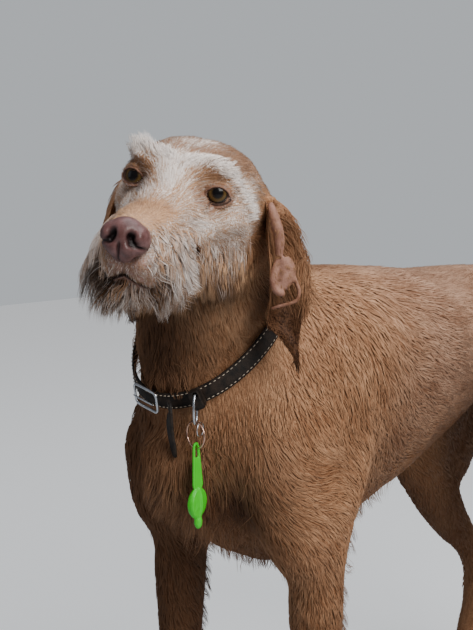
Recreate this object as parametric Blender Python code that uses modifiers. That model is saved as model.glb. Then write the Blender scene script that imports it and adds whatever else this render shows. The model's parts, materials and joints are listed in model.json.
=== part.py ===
"""A standing wirehaired pointing dog with its head raised and turned to its left.

It wears a leather collar with a buckle, a lead ring, a key ring and a soft plastic tag. Every solid is life
size, in metres, with +Z up, the dog facing -Y and +X on the dog's left. The flesh is one smooth body, built
from lofted masses and parted by thin cuts. The solids reach out to the tips of the coat."""

import math

import bmesh
import bpy
import numpy as np
from mathutils import Matrix, Vector
from mathutils.bvhtree import BVHTree

# Driving dimensions of the dog.
HALF_STANCE_FRONT = 0.080
HALF_STANCE_HIND = 0.078
CUT = 0.0004
GROW = 0.0005

# The head's own axes start midway between the eyes: f forward, l to the dog's left, u up.
HEAD_AT = Vector((0.073, -0.349, 0.686))
HEAD_YAW = math.radians(32.7)
HEAD_PITCH = math.radians(4.0)
HEAD_ROLL = math.radians(-11.0)
EYE_RADIUS = 0.0112
EYE_AT = (-0.0080, 0.0308, 0.0)

# Size of the triangle mesh.
VOXEL = 0.0042
FLESH_TRIANGLES = 3100

# The collar: where its loop lies, and its strap.
COLLAR_AT = Vector((0.000, -0.232, 0.578))
COLLAR_TILT = math.radians(45.9)
COLLAR_LEAN = math.radians(-7.4)
STRAP_WIDTH = 0.0145
STRAP_THICK = 0.0034
KEEPER_TURN = math.radians(22.0)
BUCKLE_TURN = math.radians(-7.0)

LEFT_RIGHT = (("left", 1), ("right", -1))

for old in list(bpy.data.objects):
    bpy.data.objects.remove(old)

dog = bpy.data.collections.new("dog")
cutters = bpy.data.collections.new("cutters")
bpy.context.scene.collection.children.link(dog)
bpy.context.scene.collection.children.link(cutters)
cutters.hide_render = True


def material(name, colour, roughness, metallic=0.0):
    made = bpy.data.materials.new(name)
    made.use_nodes = True
    shader = made.node_tree.nodes["Principled BSDF"]
    shader.inputs["Base Color"].default_value = (*colour, 1.0)
    shader.inputs["Roughness"].default_value = roughness
    shader.inputs["Metallic"].default_value = metallic
    return made


COAT = material("coat", (0.30, 0.15, 0.08), 0.8)
PALE_COAT = material("pale_coat", (0.55, 0.45, 0.38), 0.8)
NOSE_LEATHER = material("nose_leather", (0.20, 0.10, 0.09), 0.45)
EYE_GLASS = material("eye", (0.10, 0.06, 0.02), 0.05)
CLAW = material("claw", (0.12, 0.08, 0.06), 0.4)
LEATHER = material("collar_leather", (0.035, 0.022, 0.016), 0.55)
STEEL = material("collar_steel", (0.70, 0.71, 0.73), 0.25, 1.0)
COPPER = material("ring_copper", (0.72, 0.50, 0.42), 0.3, 1.0)
GREEN = material("tag_green", (0.10, 0.62, 0.06), 0.5)


def add_object(name, mesh, finish=None, collection=dog):
    made = bpy.data.objects.new(name, mesh)
    collection.objects.link(made)
    if finish:
        mesh.materials.clear()
        mesh.materials.append(finish)
    return made


# ---------------------------------------------------------------- lofted masses


def eased(rows, count):
    """The rows of numbers as a smooth run of count rows, through each of them."""
    rows = np.array(rows, float)
    chord = np.linalg.norm(np.diff(rows[:, :3], axis=0), axis=1)
    knots = np.concatenate([[0.0], np.cumsum(chord)])
    slope = np.gradient(rows, knots, axis=0)
    at = np.linspace(0.0, knots[-1], count)
    i = np.clip(np.searchsorted(knots, at, side="right") - 1, 0, len(knots) - 2)
    span = (knots[i + 1] - knots[i])[:, None]
    t = (at - knots[i])[:, None] / span
    return (
        rows[i] * (2 * t**3 - 3 * t**2 + 1)
        + slope[i] * span * (t**3 - 2 * t**2 + t)
        + rows[i + 1] * (3 * t**2 - 2 * t**3)
        + slope[i + 1] * span * (t**3 - t**2)
    )


def loft(bm, stations, side=(1, 0, 0), around=20, along=22, squareness=2.0, keel=0.0):
    """Adds a closed round-ended body through stations of (x, y, z, half width, half depth).

    The width runs along side and the depth square to it and to the path. A keel narrows the lower half of
    each section of a run from front to back, and squareness above 2 fills its corners."""
    run = eased(stations, along)
    centre, width, depth = run[:, :3], run[:, 3], run[:, 4]
    tangent = np.gradient(centre, axis=0)
    tangent /= np.linalg.norm(tangent, axis=1)[:, None]
    rings = []
    turn = np.linspace(0.0, 2 * math.pi, around, endpoint=False)
    power = 2.0 / squareness
    across = np.sign(np.cos(turn)) * np.abs(np.cos(turn)) ** power * (1 - keel * np.sin(turn))
    upward = np.sign(np.sin(turn)) * np.abs(np.sin(turn)) ** power
    caps = [(0, a) for a in (90, 60, 30)]
    caps += [(i, 0) for i in range(along)]
    caps += [(along - 1, a) for a in (30, 60, 90)]
    for order, (i, cap) in enumerate(caps):
        lie = Vector(tangent[i])
        wide = Vector(side) - lie * Vector(side).dot(lie)
        wide.normalize()
        deep = lie.cross(wide)
        shrink = math.cos(math.radians(cap))
        reach = 0.8 * min(width[i], depth[i]) * math.sin(math.radians(cap))
        middle = Vector(centre[i]) + lie * reach * (1 if order > 3 else -1)
        if cap == 90:
            rings.append([bm.verts.new(middle)])
            continue
        rings.append(
            [
                bm.verts.new(middle + wide * (width[i] * shrink * a) + deep * (depth[i] * shrink * u))
                for a, u in zip(across, upward)
            ]
        )
    for first, second in zip(rings, rings[1:]):
        for k in range(around):
            n = (k + 1) % around
            corners = [first[k % len(first)], first[n % len(first)]]
            corners += [second[n % len(second)], second[k % len(second)]]
            bm.faces.new(list(dict.fromkeys(corners)))


def ball(bm, at, radii, turn=Matrix.Identity(3)):
    """Adds an ellipsoid with its three radii along the turned axes."""
    scale = Matrix.Diagonal((*radii, 1.0))
    bmesh.ops.create_uvsphere(
        bm, u_segments=16, v_segments=10, radius=1.0, matrix=Matrix.Translation(at) @ turn.to_4x4() @ scale
    )


def fused(name, bm, voxel, smoothing):
    """One smooth closed skin round all the masses in bm."""
    bmesh.ops.recalc_face_normals(bm, faces=bm.faces)
    mesh = bpy.data.meshes.new(name)
    bm.to_mesh(mesh)
    bm.free()
    rough = add_object(name, mesh, collection=cutters)
    remesh = rough.modifiers.new("skin", "REMESH")
    remesh.mode = "VOXEL"
    remesh.voxel_size = voxel
    smooth = rough.modifiers.new("ease", "SMOOTH")
    smooth.factor = 0.5
    smooth.iterations = smoothing
    return rough


def evaluated_mesh(obj):
    bpy.context.view_layer.update()
    return bpy.data.meshes.new_from_object(obj.evaluated_get(bpy.context.evaluated_depsgraph_get()))


def head_axes():
    """The head's placing matrix, from its own (f, l, u) to the dog's frame."""
    yaw, pitch, roll = HEAD_YAW, HEAD_PITCH, HEAD_ROLL
    forward = Vector((math.sin(yaw) * math.cos(pitch), -math.cos(yaw) * math.cos(pitch), math.sin(pitch)))
    left = Vector((math.cos(yaw), math.sin(yaw), 0.0))
    up = forward.cross(left)
    tilted_left = left * math.cos(roll) + up * math.sin(roll)
    tilted_up = up * math.cos(roll) - left * math.sin(roll)
    turn = Matrix((forward, tilted_left, tilted_up)).transposed()
    return Matrix.Translation(HEAD_AT) @ turn.to_4x4()


HEAD = head_axes()
HEAD_TURN = HEAD.to_3x3()
HEAD_SIDE = HEAD_TURN @ Vector((0, 1, 0))


def head_station(f, l, u, width, depth):
    return (*(HEAD @ Vector((f, l, u))), width, depth)


def by_lines(rows):
    """Stations along the head from rows of (f, top, bottom, half width)."""
    return [head_station(f, 0, (top + low) / 2, width, (top - low) / 2) for f, top, low, width in rows]


# ---------------------------------------------------------------- the flesh


def add_trunk(bm):
    """Ribcage, loin and croup. Each row holds y, the top line, the under line and the half width."""
    rows = [
        (-0.290, 0.476, 0.410, 0.040),
        (-0.262, 0.530, 0.362, 0.074),
        (-0.218, 0.575, 0.332, 0.093),
        (-0.160, 0.602, 0.320, 0.098),
        (-0.100, 0.609, 0.341, 0.100),
        (-0.020, 0.604, 0.366, 0.100),
        (0.050, 0.597, 0.394, 0.096),
        (0.120, 0.593, 0.425, 0.086),
        (0.185, 0.590, 0.442, 0.079),
        (0.250, 0.577, 0.448, 0.074),
        (0.295, 0.552, 0.460, 0.058),
        (0.318, 0.525, 0.480, 0.036),
    ]
    loft(
        bm,
        [(0, y, (top + low) / 2, width, (top - low) / 2) for y, top, low, width in rows],
        around=28,
        along=34,
        squareness=2.15,
        keel=0.40,
    )


def add_neck(bm):
    """A short neck drawn up and back. Rows hold x, the nape's y and z, the throat's y and z, half width."""
    rows = [
        (-0.004, -0.130, 0.560, -0.274, 0.430, 0.082),
        (-0.006, -0.140, 0.604, -0.290, 0.478, 0.080),
        (-0.005, -0.158, 0.628, -0.300, 0.530, 0.074),
        (0.003, -0.182, 0.650, -0.307, 0.570, 0.067),
        (0.019, -0.204, 0.672, -0.308, 0.606, 0.060),
        (0.031, -0.222, 0.690, -0.302, 0.636, 0.052),
    ]
    stations = []
    for x, back_y, back_z, front_y, front_z, width in rows:
        depth = math.hypot(back_y - front_y, back_z - front_z) / 2
        stations.append((x, (back_y + front_y) / 2, (back_z + front_z) / 2, width, depth))
    loft(bm, stations, around=26)


def add_tail(bm):
    """Carried low, with the tip curving back."""
    loft(
        bm,
        [
            (0.000, 0.290, 0.545, 0.026, 0.028),
            (0.002, 0.345, 0.530, 0.021, 0.023),
            (0.004, 0.388, 0.474, 0.018, 0.019),
            (0.008, 0.408, 0.395, 0.015, 0.017),
            (0.012, 0.422, 0.320, 0.012, 0.014),
            (0.014, 0.446, 0.255, 0.009, 0.010),
            (0.014, 0.482, 0.222, 0.006, 0.007),
        ],
        around=16,
        along=26,
    )


def add_foreleg(bm, s):
    """Shoulder blade, upper arm, forearm, wrist and pastern. The right leg stands a little forward."""
    ahead = 0.0 if s > 0 else -0.022
    brought = 0.0 if s > 0 else -0.014
    fuller = 0.0 if s > 0 else 0.003
    x = HALF_STANCE_FRONT
    loft(
        bm,
        [
            (s * 0.038, -0.128, 0.586, 0.018, 0.030),
            (s * 0.066, -0.168, 0.528, 0.028, 0.054),
            (s * 0.076, -0.206 + 0.2 * brought, 0.470, 0.031, 0.058),
            (s * 0.074, -0.240 + 0.6 * brought, 0.428, 0.031, 0.042),
        ],
    )
    loft(
        bm,
        [
            (s * 0.074, -0.234 + 0.6 * brought, 0.428, 0.030 + fuller / 2, 0.040),
            (s * 0.078, -0.212 + brought, 0.390, 0.031 + fuller, 0.044),
            (s * 0.079, -0.190 + brought, 0.352, 0.028 + fuller, 0.036),
        ],
    )
    loft(
        bm,
        [
            (s * 0.070, -0.145, 0.510, 0.024, 0.036),
            (s * 0.080, -0.160, 0.440, 0.025, 0.038),
            (s * 0.081, -0.178, 0.370, 0.021, 0.026),
            (s * 0.080, -0.178, 0.335, 0.017, 0.018),
        ],
    )
    loft(
        bm,
        [
            (s * 0.079, -0.194 + 0.3 * ahead + brought, 0.375, 0.027, 0.034),
            (s * 0.079, -0.191 + 0.5 * ahead + 0.8 * brought, 0.320, 0.025, 0.030),
            (s * x, -0.192 + 0.7 * ahead + 0.4 * brought, 0.250, 0.022, 0.025),
            (s * x, -0.196 + 0.85 * ahead + 0.2 * brought, 0.180, 0.019, 0.021),
            (s * x, -0.198 + 0.95 * ahead, 0.130, 0.020, 0.020),
            (s * x, -0.202 + ahead, 0.090, 0.018, 0.017),
            (s * x, -0.212 + ahead, 0.048, 0.020, 0.018),
            (s * x, -0.220 + ahead, 0.028, 0.021, 0.018),
        ],
    )
    add_paw(bm, s * x, -0.228 + ahead, 1.0)


def add_hindleg(bm, s):
    """Thigh, hamstrings, shank, hock and rear pastern."""
    x = HALF_STANCE_HIND
    loft(
        bm,
        [
            (s * 0.046, 0.218, 0.530, 0.036, 0.066),
            (s * 0.060, 0.214, 0.470, 0.043, 0.081),
            (s * 0.072, 0.206, 0.410, 0.040, 0.072),
            (s * 0.079, 0.193, 0.355, 0.033, 0.055),
            (s * 0.080, 0.186, 0.320, 0.027, 0.042),
        ],
        along=26,
    )
    loft(
        bm,
        [
            (s * 0.040, 0.294, 0.500, 0.032, 0.036),
            (s * 0.058, 0.284, 0.435, 0.036, 0.047),
            (s * 0.071, 0.260, 0.365, 0.030, 0.046),
            (s * 0.077, 0.250, 0.310, 0.022, 0.034),
        ],
        along=26,
    )
    loft(
        bm,
        [
            (s * 0.080, 0.184, 0.345, 0.030, 0.044),
            (s * 0.080, 0.221, 0.292, 0.026, 0.039),
            (s * 0.079, 0.260, 0.240, 0.021, 0.030),
            (s * 0.078, 0.302, 0.196, 0.017, 0.023),
            (s * x, 0.322, 0.165, 0.018, 0.022),
        ],
    )
    loft(
        bm,
        [
            (s * x, 0.334, 0.188, 0.012, 0.011),
            (s * x, 0.328, 0.160, 0.018, 0.021),
            (s * x, 0.320, 0.105, 0.016, 0.018),
            (s * x, 0.308, 0.050, 0.019, 0.018),
            (s * x, 0.302, 0.028, 0.020, 0.017),
        ],
    )
    ball(bm, (s * x, 0.346, 0.184), (0.011, 0.012, 0.017))
    add_paw(bm, s * x, 0.291, 0.93)


def toes(x, y, size):
    """Each toe's middle and outward lean: two longer middle toes between two shorter outer ones."""
    ahead = {-2.5: 0.022, -1: 0.036, 1: 0.036, 2.5: 0.022}
    return [(x + 0.0090 * size * lean, y - reach * size, lean) for lean, reach in ahead.items()]


def add_paw(bm, x, y, size):
    """Pads, knuckles and four toes. The flat sole is cut later."""
    ball(bm, (x, y, 0.019 * size), (0.025 * size, 0.030 * size, 0.021 * size))
    for toe_x, toe_y, k in toes(x, y, size):
        turn = Matrix.Rotation(-0.05 * k, 3, "Z") @ Matrix.Rotation(-0.25, 3, "X")
        ball(bm, (toe_x, toe_y + 0.006, 0.0155 * size), (0.0108 * size, 0.0215 * size, 0.0165 * size), turn)


def add_head(bm):
    """Skull, muzzle, beard and moustache, in the head's own axes."""
    loft(
        bm,
        by_lines(
            [
                (-0.118, 0.014, -0.030, 0.028),
                (-0.102, 0.031, -0.050, 0.047),
                (-0.080, 0.041, -0.060, 0.056),
                (-0.052, 0.041, -0.064, 0.055),
                (-0.026, 0.036, -0.062, 0.048),
                (-0.010, 0.027, -0.058, 0.036),
                (0.004, 0.012, -0.054, 0.023),
            ]
        ),
        side=HEAD_SIDE,
        around=24,
        squareness=2.35,
    )
    loft(
        bm,
        by_lines(
            [
                (-0.008, 0.008, -0.064, 0.030),
                (0.014, -0.005, -0.064, 0.029),
                (0.042, -0.014, -0.064, 0.028),
                (0.064, -0.020, -0.063, 0.025),
                (0.076, -0.025, -0.060, 0.020),
            ]
        ),
        side=HEAD_SIDE,
        around=22,
        squareness=2.4,
    )
    add_jaw_and_beard(bm)
    for _, s in LEFT_RIGHT:
        ball(bm, HEAD @ Vector((-0.006, s * 0.029, 0.0185)), (0.017, 0.017, 0.0105), HEAD_TURN)
        ball(bm, HEAD @ Vector((-0.040, s * 0.042, -0.020)), (0.034, 0.015, 0.026), HEAD_TURN)
        ball(bm, HEAD @ Vector((-0.014, s * 0.031, -0.030)), (0.030, 0.014, 0.022), HEAD_TURN)
        ball(bm, HEAD @ Vector((-0.050, s * 0.039, -0.046)), (0.030, 0.017, 0.030), HEAD_TURN)


def add_jaw_and_beard(bm):
    """Lower jaw with its beard, and a moustache that hangs over each flew."""
    jaw = [
        (-0.068, 0, -0.050, 0.034, 0.026),
        (-0.030, 0, -0.062, 0.032, 0.022),
        (0.018, 0, -0.071, 0.026, 0.020),
        (0.050, 0, -0.078, 0.022, 0.019),
        (0.066, 0, -0.079, 0.017, 0.015),
    ]
    loft(bm, [head_station(*row) for row in jaw], side=HEAD_SIDE)
    for _, s in LEFT_RIGHT:
        moustache = [
            (-0.030, s * 0.033, -0.056, 0.014, 0.021),
            (0.006, s * 0.033, -0.062, 0.016, 0.027),
            (0.034, s * 0.032, -0.065, 0.018, 0.030),
            (0.058, s * 0.026, -0.066, 0.018, 0.028),
            (0.076, s * 0.016, -0.065, 0.012, 0.018),
        ]
        loft(bm, [head_station(*row) for row in moustache], side=HEAD_SIDE)
    ball(bm, HEAD @ Vector((0.044, 0, -0.089)), (0.020, 0.018, 0.014), HEAD_TURN)


def flesh():
    """The whole body as one closed mesh."""
    bm = bmesh.new()
    add_trunk(bm)
    add_neck(bm)
    add_tail(bm)
    add_head(bm)
    for _, s in LEFT_RIGHT:
        add_foreleg(bm, s)
        add_hindleg(bm, s)
    rough = fused("flesh", bm, VOXEL, 6)
    whole = add_object("whole", evaluated_mesh(rough), collection=cutters)
    fewer = whole.modifiers.new("fewer", "DECIMATE")
    fewer.ratio = FLESH_TRIANGLES / (2 * len(whole.data.polygons))
    return add_object("flesh_body", evaluated_mesh(whole), collection=cutters)


# ---------------------------------------------------------------- small solids


def solid_from(name, bm, finish, collection=dog):
    bmesh.ops.recalc_face_normals(bm, faces=bm.faces)
    mesh = bpy.data.meshes.new(name)
    bm.to_mesh(mesh)
    bm.free()
    return add_object(name, mesh, finish, collection)


def decimated(rough, name, triangles, finish):
    count = sum(len(face.vertices) - 2 for face in evaluated_mesh(rough).polygons)
    fewer = rough.modifiers.new("fewer", "DECIMATE")
    fewer.ratio = min(1.0, triangles / count)
    return add_object(name, evaluated_mesh(rough), finish)


def rings_to_mesh(bm, rings, closed):
    """Joins equal rings of points into a closed tube, with flat ends unless the run closes on itself."""
    loops = [[bm.verts.new(point) for point in ring] for ring in rings]
    pairs = list(zip(loops, loops[1:]))
    if closed:
        pairs.append((loops[-1], loops[0]))
    else:
        bm.faces.new(loops[0])
        bm.faces.new(loops[-1])
    for first, second in pairs:
        for k in range(len(first)):
            n = (k + 1) % len(first)
            bm.faces.new((first[k], first[n], second[n], second[k]))


def wire(bm, path, radius, closed=True, around=5):
    """A round wire along the path of points."""
    rings = []
    count = len(path)
    for i, point in enumerate(path):
        before = path[(i - 1) % count] if closed or i else point
        after = path[(i + 1) % count] if closed or i < count - 1 else point
        lie = (after - before).normalized()
        helper = Vector((0.31, 0.12, 0.94)) if abs(lie.z) < 0.95 else Vector((0.9, 0.4, 0.1))
        a = lie.cross(helper).normalized()
        b = lie.cross(a)
        angles = [2 * math.pi * k / around for k in range(around)]
        rings.append([point + (a * math.cos(t) + b * math.sin(t)) * radius for t in angles])
    if closed:
        for i in range(1, count):
            rings[i] = aligned(rings[i], rings[i - 1])
        rings_to_mesh(bm, rings, True)
    else:
        for i in range(1, count):
            rings[i] = aligned(rings[i], rings[i - 1])
        rings_to_mesh(bm, rings, False)


def aligned(ring, previous):
    """The ring, turned so that its points face those of the one before."""
    best = min(range(len(ring)), key=lambda k: (ring[k] - previous[0]).length)
    return ring[best:] + ring[:best]


def strap_rings(path, normals, widths, half_thick):
    """Rectangular sections along a path, each facing its normal."""
    rings = []
    for point, normal, wide in zip(path, normals, widths):
        out = normal * half_thick
        rings.append([point + wide + out, point - wide + out, point - wide - out, point + wide - out])
    return rings


def grown(obj, amount, bm):
    """Adds a slightly thicker copy of obj to bm."""
    copy = bmesh.new()
    copy.from_mesh(obj.data)
    copy.normal_update()
    moved = [vert.co + vert.normal * amount * min(vert.calc_shell_factor(), 2.0) for vert in copy.verts]
    for vert, place in zip(copy.verts, moved):
        vert.co = place
    swollen = bpy.data.meshes.new("swollen")
    copy.to_mesh(swollen)
    copy.free()
    bm.from_mesh(swollen)


# ---------------------------------------------------------------- ears, eyes, nose and claws

# Each row: f, l, u, half width, half thickness, outward flare of the rear edge.
LEFT_EAR = [
    (-0.080, 0.056, 0.004, 0.011, 0.0040, 0.30),
    (-0.080, 0.070, -0.007, 0.022, 0.0052, 0.35),
    (-0.075, 0.078, -0.026, 0.030, 0.0052, 0.42),
    (-0.067, 0.085, -0.048, 0.032, 0.0050, 0.50),
    (-0.060, 0.090, -0.070, 0.028, 0.0048, 0.55),
    (-0.060, 0.095, -0.090, 0.020, 0.0045, 0.60),
    (-0.063, 0.100, -0.108, 0.011, 0.0040, 0.70),
    (-0.066, 0.104, -0.123, 0.004, 0.0020, 0.80),
]
RIGHT_EAR = [
    (-0.082, 0.055, 0.004, 0.011, 0.0040, 0.10),
    (-0.084, 0.064, -0.007, 0.021, 0.0052, 0.10),
    (-0.083, 0.067, -0.026, 0.028, 0.0052, 0.10),
    (-0.082, 0.066, -0.048, 0.031, 0.0050, 0.10),
    (-0.083, 0.061, -0.070, 0.028, 0.0048, 0.10),
    (-0.086, 0.054, -0.090, 0.020, 0.0045, 0.10),
    (-0.089, 0.047, -0.108, 0.011, 0.0040, 0.10),
    (-0.091, 0.042, -0.120, 0.004, 0.0020, 0.10),
]


def ear(side, rows):
    """A hanging flap. Rows hold the middle line's place in the head's axes, half width, half thickness, and
    how far the rear edge flares outward; the front edge rolls outward down to the middle."""
    s = 1 if side == "left" else -1
    rows = [(f, s * l, u, width, thick, flare) for f, l, u, width, thick, flare in rows]
    run = eased(rows, 11)
    bm = bmesh.new()
    rings = []
    for i, (f, l, u, width, thick, flare) in enumerate(run):
        middle = HEAD @ Vector((f, l, u))
        across = HEAD_TURN @ Vector((-math.cos(flare), s * math.sin(flare), 0.0))
        before = HEAD @ Vector(run[max(i - 1, 0)][:3])
        after = HEAD @ Vector(run[min(i + 1, len(run) - 1)][:3])
        down = (after - before).normalized()
        across = (across - down * across.dot(down)).normalized()
        out = across.cross(down) * (1 if across.cross(down).dot(HEAD_SIDE) * s > 0 else -1)
        ring = []
        for t in np.linspace(0, 2 * math.pi, 10, endpoint=False):
            c, lens = math.cos(t), math.sin(t)
            bow = 0.16 * width * (1 - c * c)
            bulge = bow + thick * lens * math.sqrt(max(1 - c**4, 0.05))
            ring.append(middle + across * width * c + out * bulge)
        rings.append(ring)
    rings_to_mesh(bm, rings, False)
    return solid_from("ear_" + side, bm, COAT)


def eye(side, s):
    bm = bmesh.new()
    f, l, u = EYE_AT
    bmesh.ops.create_uvsphere(
        bm, u_segments=12, v_segments=8, radius=EYE_RADIUS, matrix=HEAD @ Matrix.Translation((f, s * l, u))
    )
    return solid_from("eye_" + side, bm, EYE_GLASS)


def nose():
    """Bulb, wings, and two nostrils with their side slits."""
    bm = bmesh.new()
    ball(bm, HEAD @ Vector((0.0890, 0, -0.0405)), (0.0135, 0.0142, 0.0130), HEAD_TURN)
    for _, s in LEFT_RIGHT:
        ball(bm, HEAD @ Vector((0.0875, s * 0.0080, -0.0430)), (0.0130, 0.0100, 0.0110), HEAD_TURN)
    ball(bm, HEAD @ Vector((0.0870, 0, -0.0530)), (0.0105, 0.0060, 0.0080), HEAD_TURN)
    rough = fused("nose_rough", bm, 0.0012, 3)
    holes = bmesh.new()
    for _, s in LEFT_RIGHT:
        ball(holes, HEAD @ Vector((0.1015, s * 0.0076, -0.0450)), (0.0060, 0.0036, 0.0042), HEAD_TURN)
        ball(holes, HEAD @ Vector((0.0960, s * 0.0134, -0.0490)), (0.0055, 0.0060, 0.0018), HEAD_TURN)
    nostrils = solid_from("nostril_cutter", holes, None, cutters)
    cut(rough, nostrils, "DIFFERENCE", overlapping=True)
    return decimated(rough, "nose", 320, NOSE_LEATHER)


def claw(name, x, y, lean, size):
    """A short blunt curved claw in front of a toe."""
    bm = bmesh.new()
    rings = []
    for reach, z, radius in ((0.000, 0.0150, 0.0032), (0.006, 0.0135, 0.0027), (0.0105, 0.0092, 0.0016)):
        middle = Vector((x + reach * 0.05 * lean, y - reach * size, z * size))
        angles = [2 * math.pi * k / 5 for k in range(5)]
        rings.append([middle + Vector((math.cos(t), 0, math.sin(t))) * radius * size for t in angles])
    rings_to_mesh(bm, rings, False)
    return solid_from(name, bm, CLAW)


def cut(obj, cutter, operation, overlapping=False):
    change = obj.modifiers.new("cut", "BOOLEAN")
    change.operation = operation
    change.solver = "EXACT"
    change.object = cutter
    change.use_self = overlapping
    cutter.display_type = "WIRE"
    cutter.hide_render = True



# ---------------------------------------------------------------- collar, rings and tag


class Neckband:
    """Where the strap lies at each turn round the neck: its middle, and the ways out, along and across."""

    def __init__(self, neck):
        self.tree = BVHTree.FromObject(neck, bpy.context.evaluated_depsgraph_get())
        self.normal = Vector((-math.tan(COLLAR_LEAN), -math.tan(COLLAR_TILT), 1.0)).normalized()
        self.left = (Vector((1, 0, 0)) - self.normal * self.normal.x).normalized()
        self.front = self.normal.cross(self.left) * -1
        turns = np.linspace(0, 2 * math.pi, 72, endpoint=False)
        self.turns = turns
        self.low, self.mid, self.high = (self.reach(turns, lift) for lift in (-0.008, 0.0, 0.008))

    def direction(self, turn):
        return self.front * math.cos(turn) + self.left * math.sin(turn)

    def reach(self, turns, lift):
        start = COLLAR_AT + self.normal * lift
        radii = np.array([self.tree.ray_cast(start, self.direction(t))[3] for t in turns])
        for _ in range(6):
            radii = (np.roll(radii, 1) + 2 * radii + np.roll(radii, -1)) / 4
        return radii

    def radius(self, turn, table):
        return float(np.interp(turn % (2 * math.pi), self.turns, table, period=2 * math.pi))

    def at(self, turn):
        """The strap's middle line. It presses deeper into the coat beside the buckle."""
        press = 0.0004 + 0.0055 * max(0.0, math.cos(turn - math.radians(-95))) ** 2
        return COLLAR_AT + self.direction(turn) * (self.radius(turn, self.mid) - press)

    def frame(self, turn):
        along = (self.at(turn + 0.05) - self.at(turn - 0.05)).normalized()
        slope = self.radius(turn, self.high) - self.radius(turn, self.low)
        across = self.normal * 0.016 + self.direction(turn) * slope
        across = (across - along * across.dot(along)).normalized()
        out = along.cross(across)
        if out.dot(self.direction(turn)) < 0:
            out = -out
        return out, along, across


def collar(band):
    turns = [2 * math.pi * k / 32 for k in range(32)]
    path = [band.at(t) for t in turns]
    frames = [band.frame(t) for t in turns]
    bm = bmesh.new()
    wide = STRAP_WIDTH / 2
    rings = strap_rings(path, [f[0] for f in frames], [f[2] * wide for f in frames], STRAP_THICK / 2)
    rings_to_mesh(bm, rings, True)
    return solid_from("collar", bm, LEATHER)


def rounded_loop(middle, a, b, half_a, half_b, corner, per_corner=4):
    """A rounded rectangle of points in the plane of a and b."""
    path = []
    for quarter in range(4):
        ca = (half_a - corner) * (1 if quarter in (0, 3) else -1)
        cb = (half_b - corner) * (1 if quarter in (0, 1) else -1)
        for k in range(per_corner):
            t = math.pi / 2 * (quarter + k / (per_corner - 1))
            path.append(middle + a * (ca + corner * math.cos(t)) + b * (cb + corner * math.sin(t)))
    return [point for i, point in enumerate(path) if (point - path[i - 1]).length > 0.0008]


def buckle(band):
    """A long steel frame over the strap, and its prong."""
    out, along, across = band.frame(BUCKLE_TURN)
    middle = band.at(BUCKLE_TURN) + out * (STRAP_THICK / 2 + 0.0026)
    bm = bmesh.new()
    wire(bm, rounded_loop(middle, along, across, 0.0155, 0.0096, 0.0042), 0.0016)
    frame = solid_from("buckle_frame", bm, STEEL)
    bm = bmesh.new()
    start = middle + out * 0.0036
    wire(bm, [start - along * 0.0150, start, start + along * 0.0165], 0.0011, closed=False)
    return [frame, solid_from("buckle_prong", bm, STEEL)]


def strap_end(band):
    """The loose end of the strap, which comes out of the buckle, twists and hangs."""
    out, along, across = band.frame(BUCKLE_TURN + 0.30)
    first = band.at(BUCKLE_TURN + 0.25) + out * 0.0065
    stations = [
        (*first, *across),
        (*(first + along * 0.003 + out * 0.002 + Vector((0, 0, -0.003))), 0.45, -0.45, 0.78),
        (*(first + along * 0.003 + out * 0.003 + Vector((0, 0, -0.010))), 0.75, -0.40, 0.50),
        (*(first + along * 0.003 + out * 0.003 + Vector((0, 0, -0.020))), 0.88, -0.44, 0.15),
        (*(first + along * 0.0045 + out * 0.002 + Vector((0, 0, -0.032))), 0.90, -0.44, 0.00),
        (*(first + along * 0.0065 + out * 0.001 + Vector((0, 0, -0.045))), 0.90, -0.44, 0.00),
    ]
    run = eased(stations, 13)
    path = [Vector(row[:3]) for row in run]
    lie = [(path[min(i + 1, 12)] - path[max(i - 1, 0)]).normalized() for i in range(13)]
    wides = [Vector(row[3:6]) for row in run]
    wides = [(w - t * w.dot(t)).normalized() for w, t in zip(wides, lie)]
    normals = [t.cross(w).normalized() for w, t in zip(wides, lie)]
    taper = [1.0] * 10 + [0.93, 0.75, 0.40]
    bm = bmesh.new()
    spans = [w * 0.0075 * k for w, k in zip(wides, taper)]
    rings_to_mesh(bm, strap_rings(path, normals, spans, 0.0013), False)
    return solid_from("strap_end", bm, LEATHER)


def circle(middle, across, radius, count, squash=1.0, up=Vector((0, 0, 1))):
    turns = [2 * math.pi * k / count for k in range(count)]
    return [middle + across * radius * squash * math.sin(t) + up * radius * math.cos(t) for t in turns]


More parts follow.
